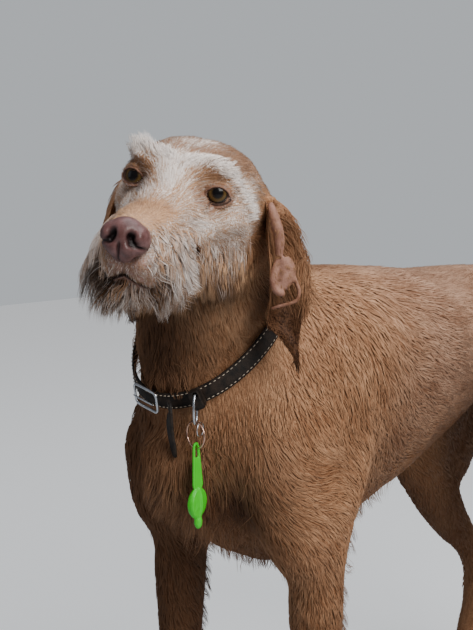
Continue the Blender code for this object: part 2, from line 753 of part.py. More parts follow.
def rings_and_tag(band):
    """A lead ring through a stitched keeper; a key ring, a small ring and a soft tag hang from it."""
    out, along, across = band.frame(KEEPER_TURN)
    top = band.at(KEEPER_TURN) + out * (STRAP_THICK / 2)
    edge_on = Vector((-0.574, 0.819, 0.0))
    hold = top + out * 0.0085 + Vector((0, -0.0015, -0.0075))
    bm = bmesh.new()
    wire(bm, circle(hold, edge_on, 0.0130, 18, squash=0.48), 0.0013)
    lead_ring = solid_from("lead_ring", bm, STEEL)

    bm = bmesh.new()
    pad = top + out * 0.0062
    half = [along * 0.0045, across * (STRAP_WIDTH / 2 + 0.0012), out * 0.0056]
    corners = [(-1, -1), (1, -1), (1, 1), (-1, 1)]
    sections = [(-1.0, 0.80), (-0.72, 1.0), (0.72, 1.0), (1.0, 0.80)]
    rings = [[pad + half[1] * h + (half[0] * a + half[2] * o) * k for a, o in corners] for h, k in sections]
    rings_to_mesh(bm, rings, False)
    rough = solid_from("keeper_block", bm, LEATHER, cutters)
    tunnel = bmesh.new()
    grown(lead_ring, 0.0011, tunnel)
    cut(rough, solid_from("keeper_tunnel", tunnel, None, cutters), "DIFFERENCE")
    keeper = add_object("keeper", evaluated_mesh(rough), LEATHER)

    radius = 0.0115
    lead_low = hold + Vector((0, 0, -0.0130))
    centre = lead_low + Vector((0, 0, 0.0013 + 0.0010 + 0.0006 - radius))
    bm = bmesh.new()
    wire(bm, circle(centre, Vector((1, -0.05, 0)).normalized(), radius, 18), 0.0010)
    key_ring = solid_from("key_ring", bm, COPPER)

    small = 0.0060
    tilt = math.radians(38)
    spot = centre + (Vector((1, -0.05, 0)) * math.sin(tilt) + Vector((0, 0, 1)) * math.cos(tilt)) * radius
    bm = bmesh.new()
    small_at = spot + Vector((-0.0010, 0, 0.0010 + 0.0007 + 0.0009 - small))
    wire(bm, circle(small_at, Vector((-0.35, 0.94, 0)).normalized(), small, 12), 0.0007, around=4)
    small_ring = solid_from("small_ring", bm, STEEL)

    low = centre + Vector((0, 0, -radius - 0.0010))
    side = Vector((-0.10, 0.99, 0)).normalized()
    lift = Vector((-0.04, -0.02, 1.0)).normalized()
    long = 0.0190
    hang = low + Vector((0, 0, 0.0050)) - lift * long
    path = rounded_loop(hang, side, lift, 0.0046, long, 0.0036, 5)
    path = [p - side * side.dot(p - hang) * 0.50 * (0.4 + 0.6 * lift.dot(p - hang) / long) for p in path]
    bm = bmesh.new()
    wire(bm, path, 0.0014)
    loop = solid_from("tag_loop", bm, None, cutters)
    bm = bmesh.new()
    through = side.cross(lift).normalized() * 0.0009
    rings = []
    for height, half in ((0.40, 0.0016), (0.0, 0.0028), (-0.95, 0.0044)):
        spot = hang + lift * (long * height)
        corners = ((-half, -1), (half, -1), (half, 1), (-half, 1))
        rings.append([spot + side * a + through * b for a, b in corners])
    rings_to_mesh(bm, rings, False)
    web = solid_from("tag_web", bm, None, cutters)
    disc = tag(low + Vector((0.0010, 0.0005, -0.0450)), loop, web)
    return [lead_ring, keeper, key_ring, small_ring, disc]


def tag(middle, loop, web):
    """A soft disc moulded in one with its loop and the web between, with a rib and a knob below."""
    flat = Matrix.Rotation(math.radians(108), 3, "Z")
    bm = bmesh.new()
    ball(bm, middle, (0.0125, 0.0044, 0.0140), flat)
    bmesh.ops.create_cone(
        bm,
        cap_ends=True,
        segments=24,
        radius1=0.0120,
        radius2=0.0120,
        depth=0.0060,
        matrix=Matrix.Translation(middle) @ flat.to_4x4() @ Matrix.Rotation(math.pi / 2, 4, "X"),
    )
    ball(bm, middle, (0.0030, 0.0062, 0.0150), flat)
    ball(bm, middle + Vector((0.001, 0, -0.0165)), (0.0042, 0.0036, 0.0062), flat)
    disc = decimated(fused("tag_rough", bm, 0.0010, 3), "tag_disc", 240, GREEN)
    cut(disc, web, "UNION")
    cut(disc, loop, "UNION")
    whole = add_object("tag", evaluated_mesh(disc), GREEN)
    bpy.data.objects.remove(disc)
    return whole


# ---------------------------------------------------------------- cutting the body into nodes


def prism(name, outline, low, high, axis):
    """A convex cutter: an outline swept along x or y. An x sweep takes (y, z) points, a y sweep (x, z)."""
    bm = bmesh.new()
    rings = []
    for end in (low, high):
        rings.append([Vector((end, a, b)) if axis == "x" else Vector((a, end, b)) for a, b in outline])
    rings_to_mesh(bm, rings, False)
    return solid_from(name, bm, None, cutters)


def box_in(name, at, turn, low, high):
    """A box cutter in turned axes."""
    bm = bmesh.new()
    matrix = Matrix.Translation(at) @ turn.to_4x4()
    middle = [(a + b) / 2 for a, b in zip(low, high)]
    size = Matrix.Diagonal((*[b - a for a, b in zip(low, high)], 1.0))
    bmesh.ops.create_cube(bm, size=1.0, matrix=matrix @ Matrix.Translation(middle) @ size)
    return solid_from(name, bm, None, cutters)


def result(source, cutter, operation, name, overlapping=False):
    rough = add_object(name + "_rough", source.data.copy(), collection=cutters)
    cut(rough, cutter, operation, overlapping)
    return add_object(name + "_cut", evaluated_mesh(rough), collection=cutters)


def largest_piece(mesh):
    """Welds slivers and keeps only the biggest connected body."""
    bm = bmesh.new()
    bm.from_mesh(mesh)
    bmesh.ops.remove_doubles(bm, verts=bm.verts, dist=0.00006)
    bmesh.ops.dissolve_degenerate(bm, edges=bm.edges, dist=0.00006)
    bmesh.ops.dissolve_limit(bm, angle_limit=math.radians(1.2), verts=bm.verts, edges=bm.edges)
    left = set(bm.verts)
    bodies = []
    while left:
        stack = [left.pop()]
        found = set(stack)
        while stack:
            for edge in stack.pop().link_edges:
                for other in edge.verts:
                    if other in left:
                        left.discard(other)
                        found.add(other)
                        stack.append(other)
        bodies.append(found)
    bodies.sort(key=len)
    extra = [vert for body_verts in bodies[:-1] for vert in body_verts]
    bmesh.ops.delete(bm, geom=extra, context="VERTS")
    bmesh.ops.triangulate(bm, faces=bm.faces)
    bmesh.ops.recalc_face_normals(bm, faces=bm.faces)
    bm.to_mesh(mesh)
    bm.free()


def split(source, name, cutter, finish=COAT):
    """Takes what lies inside the cutter out of source as a node, and returns the rest, a thin gap away."""
    piece = result(source, cutter, "INTERSECT", name)
    gap = bmesh.new()
    grown(cutter, CUT, gap)
    wider = solid_from(name + "_gap", gap, None, cutters)
    rest = result(source, wider, "DIFFERENCE", name + "_rest")
    largest_piece(piece.data)
    add_object(name, piece.data, finish)
    return rest


def parted(whole):
    """Every flesh node, cut one after another from the body."""
    slant = HEAD_TURN @ Matrix.Rotation(math.radians(-28), 3, "Y")
    behind_jaw = HEAD @ Vector((-0.100, 0, -0.030))
    ahead = box_in("cut_head", behind_jaw, slant, (0, -0.2, -0.16), (0.3, 0.2, 0.16))
    rest = split(whole, "head", ahead, PALE_COAT)
    neck = [(-0.118, 0.640), (-0.370, 0.452), (-0.400, 0.700), (-0.300, 0.900), (-0.050, 0.900)]
    rest = split(rest, "neck", prism("cut_neck", neck, -0.3, 0.3, "x"))
    tail = [(0.338, 0.600), (0.338, 0.100), (0.700, 0.100), (0.700, 0.600)]
    rest = split(rest, "tail", prism("cut_tail", tail, -0.030, 0.034, "x"))
    for side, s in LEFT_RIGHT:
        foot = [(s * 0.004, 0.118), (s * 0.004, -0.05), (s * 0.25, -0.05), (s * 0.25, 0.118)]
        forearm = [(s * 0.004, 0.320), (s * 0.004, 0.0), (s * 0.25, 0.0), (s * 0.25, 0.320)]
        rest = split(rest, "forepaw_" + side, prism("cut_forepaw_" + side, foot, -0.5, 0.0, "y"))
        rest = split(rest, "foreleg_" + side, prism("cut_foreleg_" + side, forearm, -0.5, 0.0, "y"))
        hind = [(s * 0.004, 0.140), (s * 0.004, -0.05), (s * 0.25, -0.05), (s * 0.25, 0.140)]
        shank = [(s * 0.004, 0.310), (s * 0.004, 0.0), (s * 0.25, 0.0), (s * 0.25, 0.310)]
        thigh = [(s * 0.004, 0.436), (s * 0.004, 0.200), (s * 0.25, 0.200), (s * 0.25, 0.560)]
        thigh += [(s * 0.130, 0.560)]
        rest = split(rest, "hindpaw_" + side, prism("cut_hindpaw_" + side, hind, 0.09, 0.6, "y"))
        rest = split(rest, "shank_" + side, prism("cut_shank_" + side, shank, 0.09, 0.6, "y"))
        rest = split(rest, "thigh_" + side, prism("cut_thigh_" + side, thigh, 0.105, 0.6, "y"))
    chest = [(-0.6, 0.8), (-0.6, 0.1), (-0.02, 0.1), (-0.02, 0.8)]
    rump = [(0.13, 0.8), (0.13, 0.1), (0.6, 0.1), (0.6, 0.8)]
    rest = split(rest, "chest", prism("cut_chest", chest, -0.3, 0.3, "x"))
    rest = split(rest, "rump", prism("cut_rump", rump, -0.3, 0.3, "x"))
    largest_piece(rest.data)
    add_object("barrel", rest.data, COAT)


def build():
    body = flesh()
    band = Neckband(body)
    small = [collar(band), *buckle(band), strap_end(band), *rings_and_tag(band), nose()]
    small += [eye(side, s) for side, s in LEFT_RIGHT]
    small += [ear("left", LEFT_EAR), ear("right", RIGHT_EAR)]
    for side, s in LEFT_RIGHT:
        ahead = 0.0 if s > 0 else -0.022
        feet = [("fore", s * HALF_STANCE_FRONT, -0.228 + ahead, 1.0)]
        feet += [("hind", s * HALF_STANCE_HIND, 0.291, 0.93)]
        for foot, x, y, size in feet:
            for number, (toe_x, toe_y, lean) in enumerate(toes(x, y, size), 1):
                name = f"claw_{foot}_{side}_{number}"
                small.append(claw(name, toe_x, toe_y - 0.013 * size, lean, size))
    room = bmesh.new()
    for solid in small:
        grown(solid, GROW, room)
    holes = solid_from("cut_small_solids", room, None, cutters)
    body = result(body, holes, "DIFFERENCE", "fitted", overlapping=True)
    ground = box_in("cut_floor", Vector((0, 0, 0)), Matrix.Identity(3), (-1, -1, -1), (1, 1, 0))
    body = result(body, ground, "DIFFERENCE", "standing")
    largest_piece(body.data)
    parted(body)


def centred():
    """Moves everything so that the bounding box stands on the origin."""
    meshes = {obj.data for obj in dog.objects}
    corners = np.array([vert.co[:] for mesh in meshes for vert in mesh.vertices])
    low, high = corners.min(axis=0), corners.max(axis=0)
    shift = Vector((-(low[0] + high[0]) / 2, -(low[1] + high[1]) / 2, -low[2]))
    for mesh in meshes:
        mesh.transform(Matrix.Translation(shift))
    return shift


build()
SHIFT = centred()
for spare in list(cutters.objects):
    bpy.data.objects.remove(spare)
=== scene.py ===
"""A standing wirehaired pointing dog, old and grizzled, with its head raised and turned to its left.

It wears a stitched leather collar with a steel buckle, a lead ring, a copper-toned key ring and a soft green
tag. One skin covers the whole animal, and the coat is tufts of solid hair rooted in that skin."""

import json
import math

import bmesh
import bpy
import numpy as np
from mathutils import Matrix, Vector, kdtree
from mathutils.bvhtree import BVHTree

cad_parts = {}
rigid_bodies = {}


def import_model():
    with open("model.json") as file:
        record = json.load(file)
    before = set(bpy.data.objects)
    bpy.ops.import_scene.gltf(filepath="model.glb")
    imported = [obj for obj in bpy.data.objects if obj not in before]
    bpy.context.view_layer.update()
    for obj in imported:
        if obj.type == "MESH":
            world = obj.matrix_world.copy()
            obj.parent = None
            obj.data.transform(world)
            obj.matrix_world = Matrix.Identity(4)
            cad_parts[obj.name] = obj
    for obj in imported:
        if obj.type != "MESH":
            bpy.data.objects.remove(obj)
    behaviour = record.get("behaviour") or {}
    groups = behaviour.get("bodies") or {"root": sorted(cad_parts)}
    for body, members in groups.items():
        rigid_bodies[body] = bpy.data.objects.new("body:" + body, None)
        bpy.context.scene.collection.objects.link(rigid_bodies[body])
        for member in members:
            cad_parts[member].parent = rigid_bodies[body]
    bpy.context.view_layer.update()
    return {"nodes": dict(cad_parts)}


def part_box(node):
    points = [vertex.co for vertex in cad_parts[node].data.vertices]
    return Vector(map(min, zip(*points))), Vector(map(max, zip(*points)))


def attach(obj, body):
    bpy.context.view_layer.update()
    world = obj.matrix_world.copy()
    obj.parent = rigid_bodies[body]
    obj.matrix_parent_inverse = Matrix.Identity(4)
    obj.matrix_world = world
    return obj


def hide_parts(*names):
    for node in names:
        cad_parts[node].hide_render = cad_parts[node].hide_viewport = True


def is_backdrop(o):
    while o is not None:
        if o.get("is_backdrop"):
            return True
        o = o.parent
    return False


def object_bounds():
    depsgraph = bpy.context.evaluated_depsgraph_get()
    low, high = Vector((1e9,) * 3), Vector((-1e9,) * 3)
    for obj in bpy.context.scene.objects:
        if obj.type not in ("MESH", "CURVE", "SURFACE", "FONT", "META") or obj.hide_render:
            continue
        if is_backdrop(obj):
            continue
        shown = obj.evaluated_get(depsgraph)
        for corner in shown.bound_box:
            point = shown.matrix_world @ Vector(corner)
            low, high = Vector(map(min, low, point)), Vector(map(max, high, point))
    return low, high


for left_over in list(bpy.data.objects):
    bpy.data.objects.remove(left_over)
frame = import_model()

# ------------------------------------------------------------------------------------------------ skin
# One skin over head, trunk, ears, legs and tail. The body's masses are run together and smoothed, then drawn
# in by the depth of the coat.

TRUNK = ["head", "neck", "chest", "barrel", "rump", "tail"]
LIMBS = [f"{part}_{side}" for part in ("foreleg", "thigh", "shank") for side in ("left", "right")]
PAWS = [f"{part}_{side}" for part in ("forepaw", "hindpaw") for side in ("left", "right")]
EARS = ["ear_left", "ear_right"]
FLESH = TRUNK + LIMBS + PAWS
SKIN_GRAIN = 0.0036
LIGHTER_GRAIN = 0.0066
EYE_RADIUS = 0.0112
EYE_APART = 0.0308

# The head's own axes: f forward along the muzzle, l to the dog's left, u up, from midway between the eyes.
YAW, PITCH, ROLL = math.radians(32.7), math.radians(4.0), math.radians(-11.0)
forward = np.array([math.sin(YAW) * math.cos(PITCH), -math.cos(YAW) * math.cos(PITCH), math.sin(PITCH)])
level_left = np.array([math.cos(YAW), math.sin(YAW), 0.0])
level_up = np.cross(forward, level_left)
leftward = level_left * math.cos(ROLL) + level_up * math.sin(ROLL)
upward = level_up * math.cos(ROLL) - level_left * math.sin(ROLL)
HEAD_AXES = np.array([forward, leftward, upward])
EYE_SET_BACK = 0.0080


def middle_of(name):
    low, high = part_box(name)
    return np.array((low + high) / 2)


HEAD_AT = (middle_of("eye_left") + middle_of("eye_right")) / 2 + forward * EYE_SET_BACK


def to_head(points):
    return (points - HEAD_AT) @ HEAD_AXES.T


def from_head(points):
    return HEAD_AT + np.asarray(points) @ HEAD_AXES


def ease(low, high, value):
    """0 below low, 1 above high, and a smooth rise between them. The ends may also be swapped."""
    t = np.clip((value - low) / (high - low), 0.0, 1.0)
    return t * t * (3 - 2 * t)


def mound(points, middle, radii):
    """1 at the middle of an ellipsoid, falling smoothly away around it."""
    return np.exp(-(((points - np.asarray(middle)) / np.asarray(radii)) ** 2).sum(axis=1))


def positions(mesh):
    flat = np.empty(len(mesh.vertices) * 3)
    mesh.vertices.foreach_get("co", flat)
    return flat.reshape(-1, 3)


def set_positions(mesh, points):
    mesh.vertices.foreach_set("co", np.ascontiguousarray(points).ravel())
    mesh.update()


def vertex_normals(mesh):
    flat = np.empty(len(mesh.vertices) * 3)
    mesh.vertex_normals.foreach_get("vector", flat)
    return flat.reshape(-1, 3)


def edge_pairs(mesh):
    flat = np.empty(len(mesh.edges) * 2, np.int64)
    mesh.edges.foreach_get("vertices", flat)
    return flat.reshape(-1, 2)


def spread(values, pairs, rounds, strength=0.5):
    """Evens out a value, or a position, between neighbouring points of a mesh."""
    values = np.array(values, float)
    columns = values.reshape(len(values), -1)
    first, second = pairs[:, 0], pairs[:, 1]
    count = len(columns)
    links = np.bincount(first, minlength=count) + np.bincount(second, minlength=count)
    links = np.maximum(links, 1)
    for _ in range(rounds):
        for c in range(columns.shape[1]):
            line = columns[:, c]
            total = np.bincount(first, line[second], count) + np.bincount(second, line[first], count)
            columns[:, c] += (total / links - line) * strength
    return columns.reshape(values.shape)


def joined_copy(names, swell):
    """A bmesh with a merged and slightly swollen copy of each node, so that thin gaps between them close."""
    whole = bmesh.new()
    for name in names:
        one = bmesh.new()
        one.from_mesh(frame["nodes"][name].data)
        bmesh.ops.remove_doubles(one, verts=one.verts, dist=0.00002)
        one.normal_update()
        for vert, normal in [(v, v.normal.copy()) for v in one.verts]:
            vert.co += normal * swell
        passing = bpy.data.meshes.new("passing")
        one.to_mesh(passing)
        one.free()
        whole.from_mesh(passing)
        bpy.data.meshes.remove(passing)
    return whole


def applied(obj):
    """Applies every modifier of the object to its mesh."""
    bpy.ops.object.select_all(action="DESELECT")
    bpy.context.view_layer.objects.active = obj
    obj.select_set(True)
    for modifier in list(obj.modifiers):
        bpy.ops.object.modifier_apply(modifier=modifier.name)
    obj.select_set(False)


def remeshed(obj, grain):
    """Runs everything in the object together into one skin of small even faces."""
    remesh = obj.modifiers.new("run_together", "REMESH")
    remesh.mode = "VOXEL"
    remesh.voxel_size = grain
    applied(obj)


def new_piece(name, mesh):
    obj = bpy.data.objects.new(name, mesh)
    bpy.context.scene.collection.objects.link(obj)
    return obj


flesh = joined_copy(FLESH, 0.00045)
for side in ("eye_left", "eye_right"):
    spot = Matrix.Translation(Vector(middle_of(side)))
    bmesh.ops.create_uvsphere(flesh, u_segments=24, v_segments=16, radius=EYE_RADIUS, matrix=spot)
for s in (1, -1):
    spot = Matrix.Translation(Vector(from_head([-0.080, s * 0.0530, -0.002])))
    bmesh.ops.create_uvsphere(flesh, u_segments=16, v_segments=10, radius=0.0125, matrix=spot)
mesh = bpy.data.meshes.new("skin")
flesh.to_mesh(mesh)
flesh.free()
skin = new_piece("skin", mesh)
remeshed(skin, SKIN_GRAIN)

# Which node each point of the skin came from decides how much it is smoothed and how deep it lies.
corners, triangles, owner = [], [], []
for number, name in enumerate(FLESH):
    data = frame["nodes"][name].data
    data.calc_loop_triangles()
    base = len(corners)
    corners += [tuple(v.co) for v in data.vertices]
    triangles += [tuple(base + i for i in t.vertices) for t in data.loop_triangles]
    owner += [number] * len(data.loop_triangles)
node_tree = BVHTree.FromPolygons(corners, triangles)


def nodes_of(points):
    """The number of the node that each point lies nearest to."""
    return np.array([owner[node_tree.find_nearest(p)[2]] for p in points])


def by_node(nodes, table, default):
    """A value for each point, from the row in the table that its node's name starts with."""
    rows = [[v for key, v in table.items() if name.startswith(key)] + [default] for name in FLESH]
    return np.array([row[0] for row in rows])[nodes]


points = positions(skin.data)
pairs = edge_pairs(skin.data)
nodes = nodes_of(points)
SOFTNESS = {"head": 0.40, "forepaw": 0.10, "hindpaw": 0.10, "tail": 0.35, "foreleg": 0.45}
softness = by_node(nodes, SOFTNESS, 0.80)
softness = np.where(points[:, 2] > 0.07, np.maximum(softness, 0.45), softness)
at_hock = ease(0.09, 0.12, points[:, 2]) * ease(0.22, 0.19, points[:, 2]) * (points[:, 1] > 0.2)
softness = spread(softness, pairs, 6)
for _ in range(14):
    points += (spread(points, pairs, 1, 1.0) - points) * (0.8 * at_hock)[:, None]
for _ in range(8):
    points += (spread(points, pairs, 1, 1.0) - points) * softness[:, None]
set_positions(skin.data, points)
COAT_DEPTH = {
    "head": 0.0020,
    "neck": 0.0050,
    "chest": 0.0048,
    "barrel": 0.0036,
    "rump": 0.0036,
    "tail": 0.0040,
    "thigh": 0.0036,
    "shank": 0.0030,
    "foreleg": 0.0036,
}
depth = spread(by_node(nodes, COAT_DEPTH, 0.0014), pairs, 8)
points -= vertex_normals(skin.data) * depth[:, None]

# The grooves between the toes, which run back from between each two claws.
TOE_GROOVE_DEPTH = 0.0030
TOE_GROOVE_WIDTH = 0.0026
between_toes = np.zeros(len(points))
for foot, paw_name in (("fore", "forepaw"), ("hind", "hindpaw")):
    for side in ("left", "right"):
        own = by_node(nodes, {f"{paw_name}_{side}": 1.0}, 0.0)
        claws = [middle_of(f"claw_{foot}_{side}_{k}") for k in (1, 2, 3, 4)]
        for a, b in zip(claws, claws[1:]):
            groove = np.exp(-(((points[:, 0] - (a[0] + b[0]) / 2) / TOE_GROOVE_WIDTH) ** 2))
            front = max(a[1], b[1])
            over_toes = ease(front + 0.045, front + 0.020, points[:, 1])
            between_toes += own * groove * over_toes * ease(0.004, 0.010, points[:, 2])
points -= vertex_normals(skin.data) * (between_toes * TOE_GROOVE_DEPTH)[:, None]

on_head = by_node(nodes, {"head": 1.0}, 0.0)
# The muzzle under its moustache and beard: a squarish bridge over hanging lips and a narrower chin.
MUZZLE_LINE = -0.040
along = [-0.045, -0.010, 0.014, 0.042, 0.064, 0.076, 0.092]
half_widths = [0.050, 0.038, 0.0320, 0.0290, 0.0260, 0.0210, 0.0150]
heights_over = [0.080, 0.050, 0.037, 0.028, 0.022, 0.017, 0.013]
heights_under = [0.038, 0.036, 0.037, 0.038, 0.036, 0.028, 0.020]
q = to_head(points)
f, l, u = q.T
rise = u - MUZZLE_LINE
reach = np.hypot(l, rise)
height = np.where(rise > 0, np.interp(f, along, heights_over), np.interp(f, along, heights_under))
SQUARENESS = 2.4
half_width = np.interp(f, along, half_widths)
squarish = (np.abs(l) / reach / half_width) ** SQUARENESS + (np.abs(rise) / reach / height) ** SQUARENESS
limit = squarish ** (-1 / SQUARENESS)
drawn = np.where(reach > limit, limit / reach, 1.0)
from_eye = np.linalg.norm(np.column_stack([f + EYE_SET_BACK, np.abs(l) - EYE_APART, u]), axis=1)
reached = np.maximum(ease(0.000, 0.022, f), ease(-0.050, -0.012, f) * ease(-0.018, -0.040, u))
drawn = 1 - (1 - drawn) * reached * ease(0.015, 0.024, from_eye) * (on_head > 0)
q[:, 1] *= drawn
q[:, 2] = MUZZLE_LINE + rise * drawn
levels = [-0.090, -0.078, -0.070, -0.062, -0.056, -0.050, -0.030, -0.020]
front = np.interp(u, levels, [0.058, 0.066, 0.073, 0.079, 0.084, 0.086, 0.084, 0.094])
front = front - 0.010 * (q[:, 1] / 0.022) ** 2
q[:, 0] = np.where((on_head > 0) & (u < -0.020), np.minimum(f, front), f)
set_positions(skin.data, from_head(q))

# The same shape in fewer faces: coarse under the long coat, finer on head and paws, finest at lids and lips.
full_shape = BVHTree.FromPolygons(
    [tuple(v.co) for v in skin.data.vertices], [tuple(p.vertices) for p in skin.data.polygons]
)
remeshed(skin, LIGHTER_GRAIN)


def divided(region):
    """Splits every face inside the region in four, and lays the new points on the full shape."""
    bm = bmesh.new()
    bm.from_mesh(skin.data)
    bm.verts.ensure_lookup_table()
    now = positions(skin.data)
    inside = region(to_head(now), now)
    edges = [e for e in bm.edges if inside[e.verts[0].index] and inside[e.verts[1].index]]
    bmesh.ops.subdivide_edges(bm, edges=edges, cuts=1, use_grid_fill=True)
    bm.to_mesh(skin.data)
    bm.free()
    now = positions(skin.data)
    laid = np.array([full_shape.find_nearest(p)[0] for p in now])
    set_positions(skin.data, spread(laid, edge_pairs(skin.data), 1, 0.4))


def near_eyes(q, radius):
    left = np.linalg.norm(q - [-EYE_SET_BACK, EYE_APART, 0], axis=1)
    right = np.linalg.norm(q - [-EYE_SET_BACK, -EYE_APART, 0], axis=1)
    return np.minimum(left, right) < radius


def near_front(q, back):
    return (q[:, 0] > back) & (q[:, 2] > -0.090)


def near(q, middle, radius):
    return np.linalg.norm(q - middle, axis=1) < radius


divided(lambda q, p: near(q, [-0.03, 0, -0.035], 0.14) & (q[:, 2] > -0.13) | (p[:, 2] < 0.045))
divided(lambda q, p: near(q, [0.01, 0, -0.02], 0.10) & (q[:, 2] > -0.09) & (q[:, 0] > -0.04))
divided(lambda q, p: near_front(q, 0.045) | near_eyes(q, 0.022))
divided(lambda q, p: near_eyes(q, 0.0185))
points = positions(skin.data)
pairs = edge_pairs(skin.data)

# ------------------------------------------------------------------------------------------------ lids, lips
# Folds of skin worked into the head: thick lids that rest on the eyeballs, with the crease above and the bag
# below, then the lips, the chin and the furrow of the brow.

# Each opening is outlined in degrees about its eyeball, (towards the dog's left, up).
EYES = {
    "eye_left": (
        np.array([-EYE_SET_BACK, EYE_APART, 0.0]),
        (14, -14),
        [(-50, -31), (-27, -15), (-9, 5), (14, 16), (38, 12), (58, -3), (78, -17), (57, -33), (31, -43),
         (0, -42), (-26, -38)],
    ),
    "eye_right": (
        np.array([-EYE_SET_BACK, -EYE_APART, 0.0]),
        (-8, 1),
        [(36, -8), (24, 3), (8, 14), (-13, 21), (-36, 17), (-50, 3), (-46, -12), (-29, -23), (-6, -26),
         (18, -19)],
    ),
}


def eye_ratio(q, eye):
    """How far each point lies from the middle of an eye's opening, 1 on its edge, and where about the eye."""
    centre, middle, outline = EYES[eye]
    away = q - centre
    radius = np.linalg.norm(away, axis=1)
    azimuth = np.degrees(np.arctan2(away[:, 1], away[:, 0]))
    height = np.degrees(np.arcsin(np.clip(away[:, 2] / np.maximum(radius, 1e-6), -1, 1)))
    narrowing = math.cos(math.radians(middle[1]))
    across = (azimuth - middle[0]) * narrowing
    over = height - middle[1]
    edge = np.array([((a - middle[0]) * narrowing, e - middle[1]) for a, e in outline])
    turns = np.arctan2(edge[:, 1], edge[:, 0])
    order = np.argsort(turns)
    turn = np.arctan2(over, across)
    size = np.interp(turn, turns[order], np.hypot(edge[:, 0], edge[:, 1])[order], period=2 * math.pi)
    return np.hypot(across, over) / size, radius, azimuth, over


q = to_head(points)
lid_edge = np.zeros(len(points))
lid_skin = np.zeros(len(points))
for eye, s in (("eye_left", 1), ("eye_right", -1)):
    ratio, radius, azimuth, over = eye_ratio(q, eye)
    centre = EYES[eye][0]
    close = (radius < 0.024) & (np.abs(azimuth) < 125)
    rim = EYE_RADIUS + 0.0011
    outside = rim + 0.0004 + np.maximum(radius - rim - 0.0004, 0.0003) * ease(1.15, 2.4, ratio)
    outside -= 0.0009 * np.exp(-(((ratio - 1.45) / 0.09) ** 2)) * (over > 0)
    outside += 0.0010 * np.exp(-(((ratio - 1.32) / 0.12) ** 2)) * (over < 0)
    haw = ease(52, 66, s * azimuth) * (over < 12)
    inside = EYE_RADIUS - 0.0018 + 0.0024 * haw
    wanted = inside + (outside - inside) * ease(0.93, 1.02, ratio)
    amount = close * (1 - ease(0.019, 0.024, radius))
    grown = (radius + (wanted - radius) * amount) / radius
    q = np.where(close[:, None], centre + (q - centre) * grown[:, None], q)
    lid_edge += close * np.exp(-(((ratio - 1.03) / 0.10) ** 2)) * (1 - ease(16, 30, -s * azimuth))
    lid_skin += close * (1 - ease(1.25, 1.9, ratio))

# Two soft lip pads under the nose, the groove between them, and the mouth line that falls away to each side.
MOUTH_MIDDLE = -0.0010
f, l, u = q.T
side_way = np.abs(l - MOUTH_MIDDLE)
in_front = ease(0.045, 0.060, f) * (u < -0.046) * (np.abs(l) < 0.032)
for s in (1, -1):
    pad = mound(q, (0.074, MOUTH_MIDDLE + s * 0.0105, -0.0600), (0.018, 0.0075, 0.0075)) * in_front
    q[:, 0] += 0.0026 * pad
mouth_line = -0.0662 - 0.52 * side_way - 0.004 * ease(0.012, 0.026, side_way)
mouth = np.exp(-(((u - mouth_line) / 0.0015) ** 2)) * in_front
groove = np.exp(-(((l - MOUTH_MIDDLE) / 0.0012) ** 2)) * ease(-0.068, -0.064, u)
groove = groove * ease(-0.049, -0.053, u) * in_front
q[:, 0] -= 0.0048 * mouth + 0.0022 * groove
chin = ease(0.0, -0.004, u - mouth_line) * in_front
q[:, 0] -= 0.0030 * chin
furrow = np.exp(-((l / 0.0045) ** 2)) * ease(-0.078, -0.050, f) * ease(0.004, -0.018, f) * (u > 0.005)
q[:, 2] -= 0.0012 * furrow
worked = near(q, [0, 0, 0], 0.16) & (q[:, 0] > -0.10)
points = np.where(worked[:, None], from_head(q), points)
set_positions(skin.data, points)

# ------------------------------------------------------------------------------------------------ ears
# Thin hanging flaps of skin over rolls of cartilage, which join the head's skin as one mesh. Each row gives
# the front edge, the rear edge and how far the flap bows between them, in the head's axes.
LEFT_FLAP = [
    ((-0.070, 0.0530, 0.0060), (-0.090, 0.0560, 0.0060), 0.004),
    ((-0.066, 0.0590, -0.0060), (-0.088, 0.0735, -0.0030), 0.007),
    ((-0.062, 0.0640, -0.0220), (-0.087, 0.0845, -0.0190), 0.010),
    ((-0.059, 0.0690, -0.0380), (-0.085, 0.0950, -0.0370), 0.012),
    ((-0.056, 0.0745, -0.0550), (-0.081, 0.1015, -0.0545), 0.013),
    ((-0.055, 0.0775, -0.0700), (-0.077, 0.1040, -0.0705), 0.012),
    ((-0.055, 0.0785, -0.0820), (-0.074, 0.1035, -0.0820), 0.010),
    ((-0.056, 0.0800, -0.0930), (-0.072, 0.1045, -0.0960), 0.008),
    ((-0.059, 0.0905, -0.1010), (-0.070, 0.1060, -0.1080), 0.005),
    ((-0.064, 0.1020, -0.1115), (-0.0685, 0.1070, -0.1155), 0.002),
    ((-0.067, 0.1055, -0.1170), (-0.0675, 0.1065, -0.1180), 0.000),
]
RIGHT_FLAP = [
    ((-0.068, -0.0540, 0.0040), (-0.094, -0.0560, 0.0040), 0.003),
    ((-0.064, -0.0620, -0.0070), (-0.103, -0.0660, -0.0070), 0.005),
    ((-0.057, -0.0650, -0.0260), (-0.109, -0.0700, -0.0260), 0.007),
    ((-0.053, -0.0640, -0.0480), (-0.111, -0.0690, -0.0480), 0.008),
    ((-0.057, -0.0590, -0.0700), (-0.109, -0.0640, -0.0700), 0.007),
    ((-0.068, -0.0520, -0.0900), (-0.104, -0.0560, -0.0900), 0.005),
    ((-0.079, -0.0450, -0.1060), (-0.099, -0.0480, -0.1060), 0.003),
    ((-0.088, -0.0420, -0.1150), (-0.093, -0.0430, -0.1155), 0.000),
]


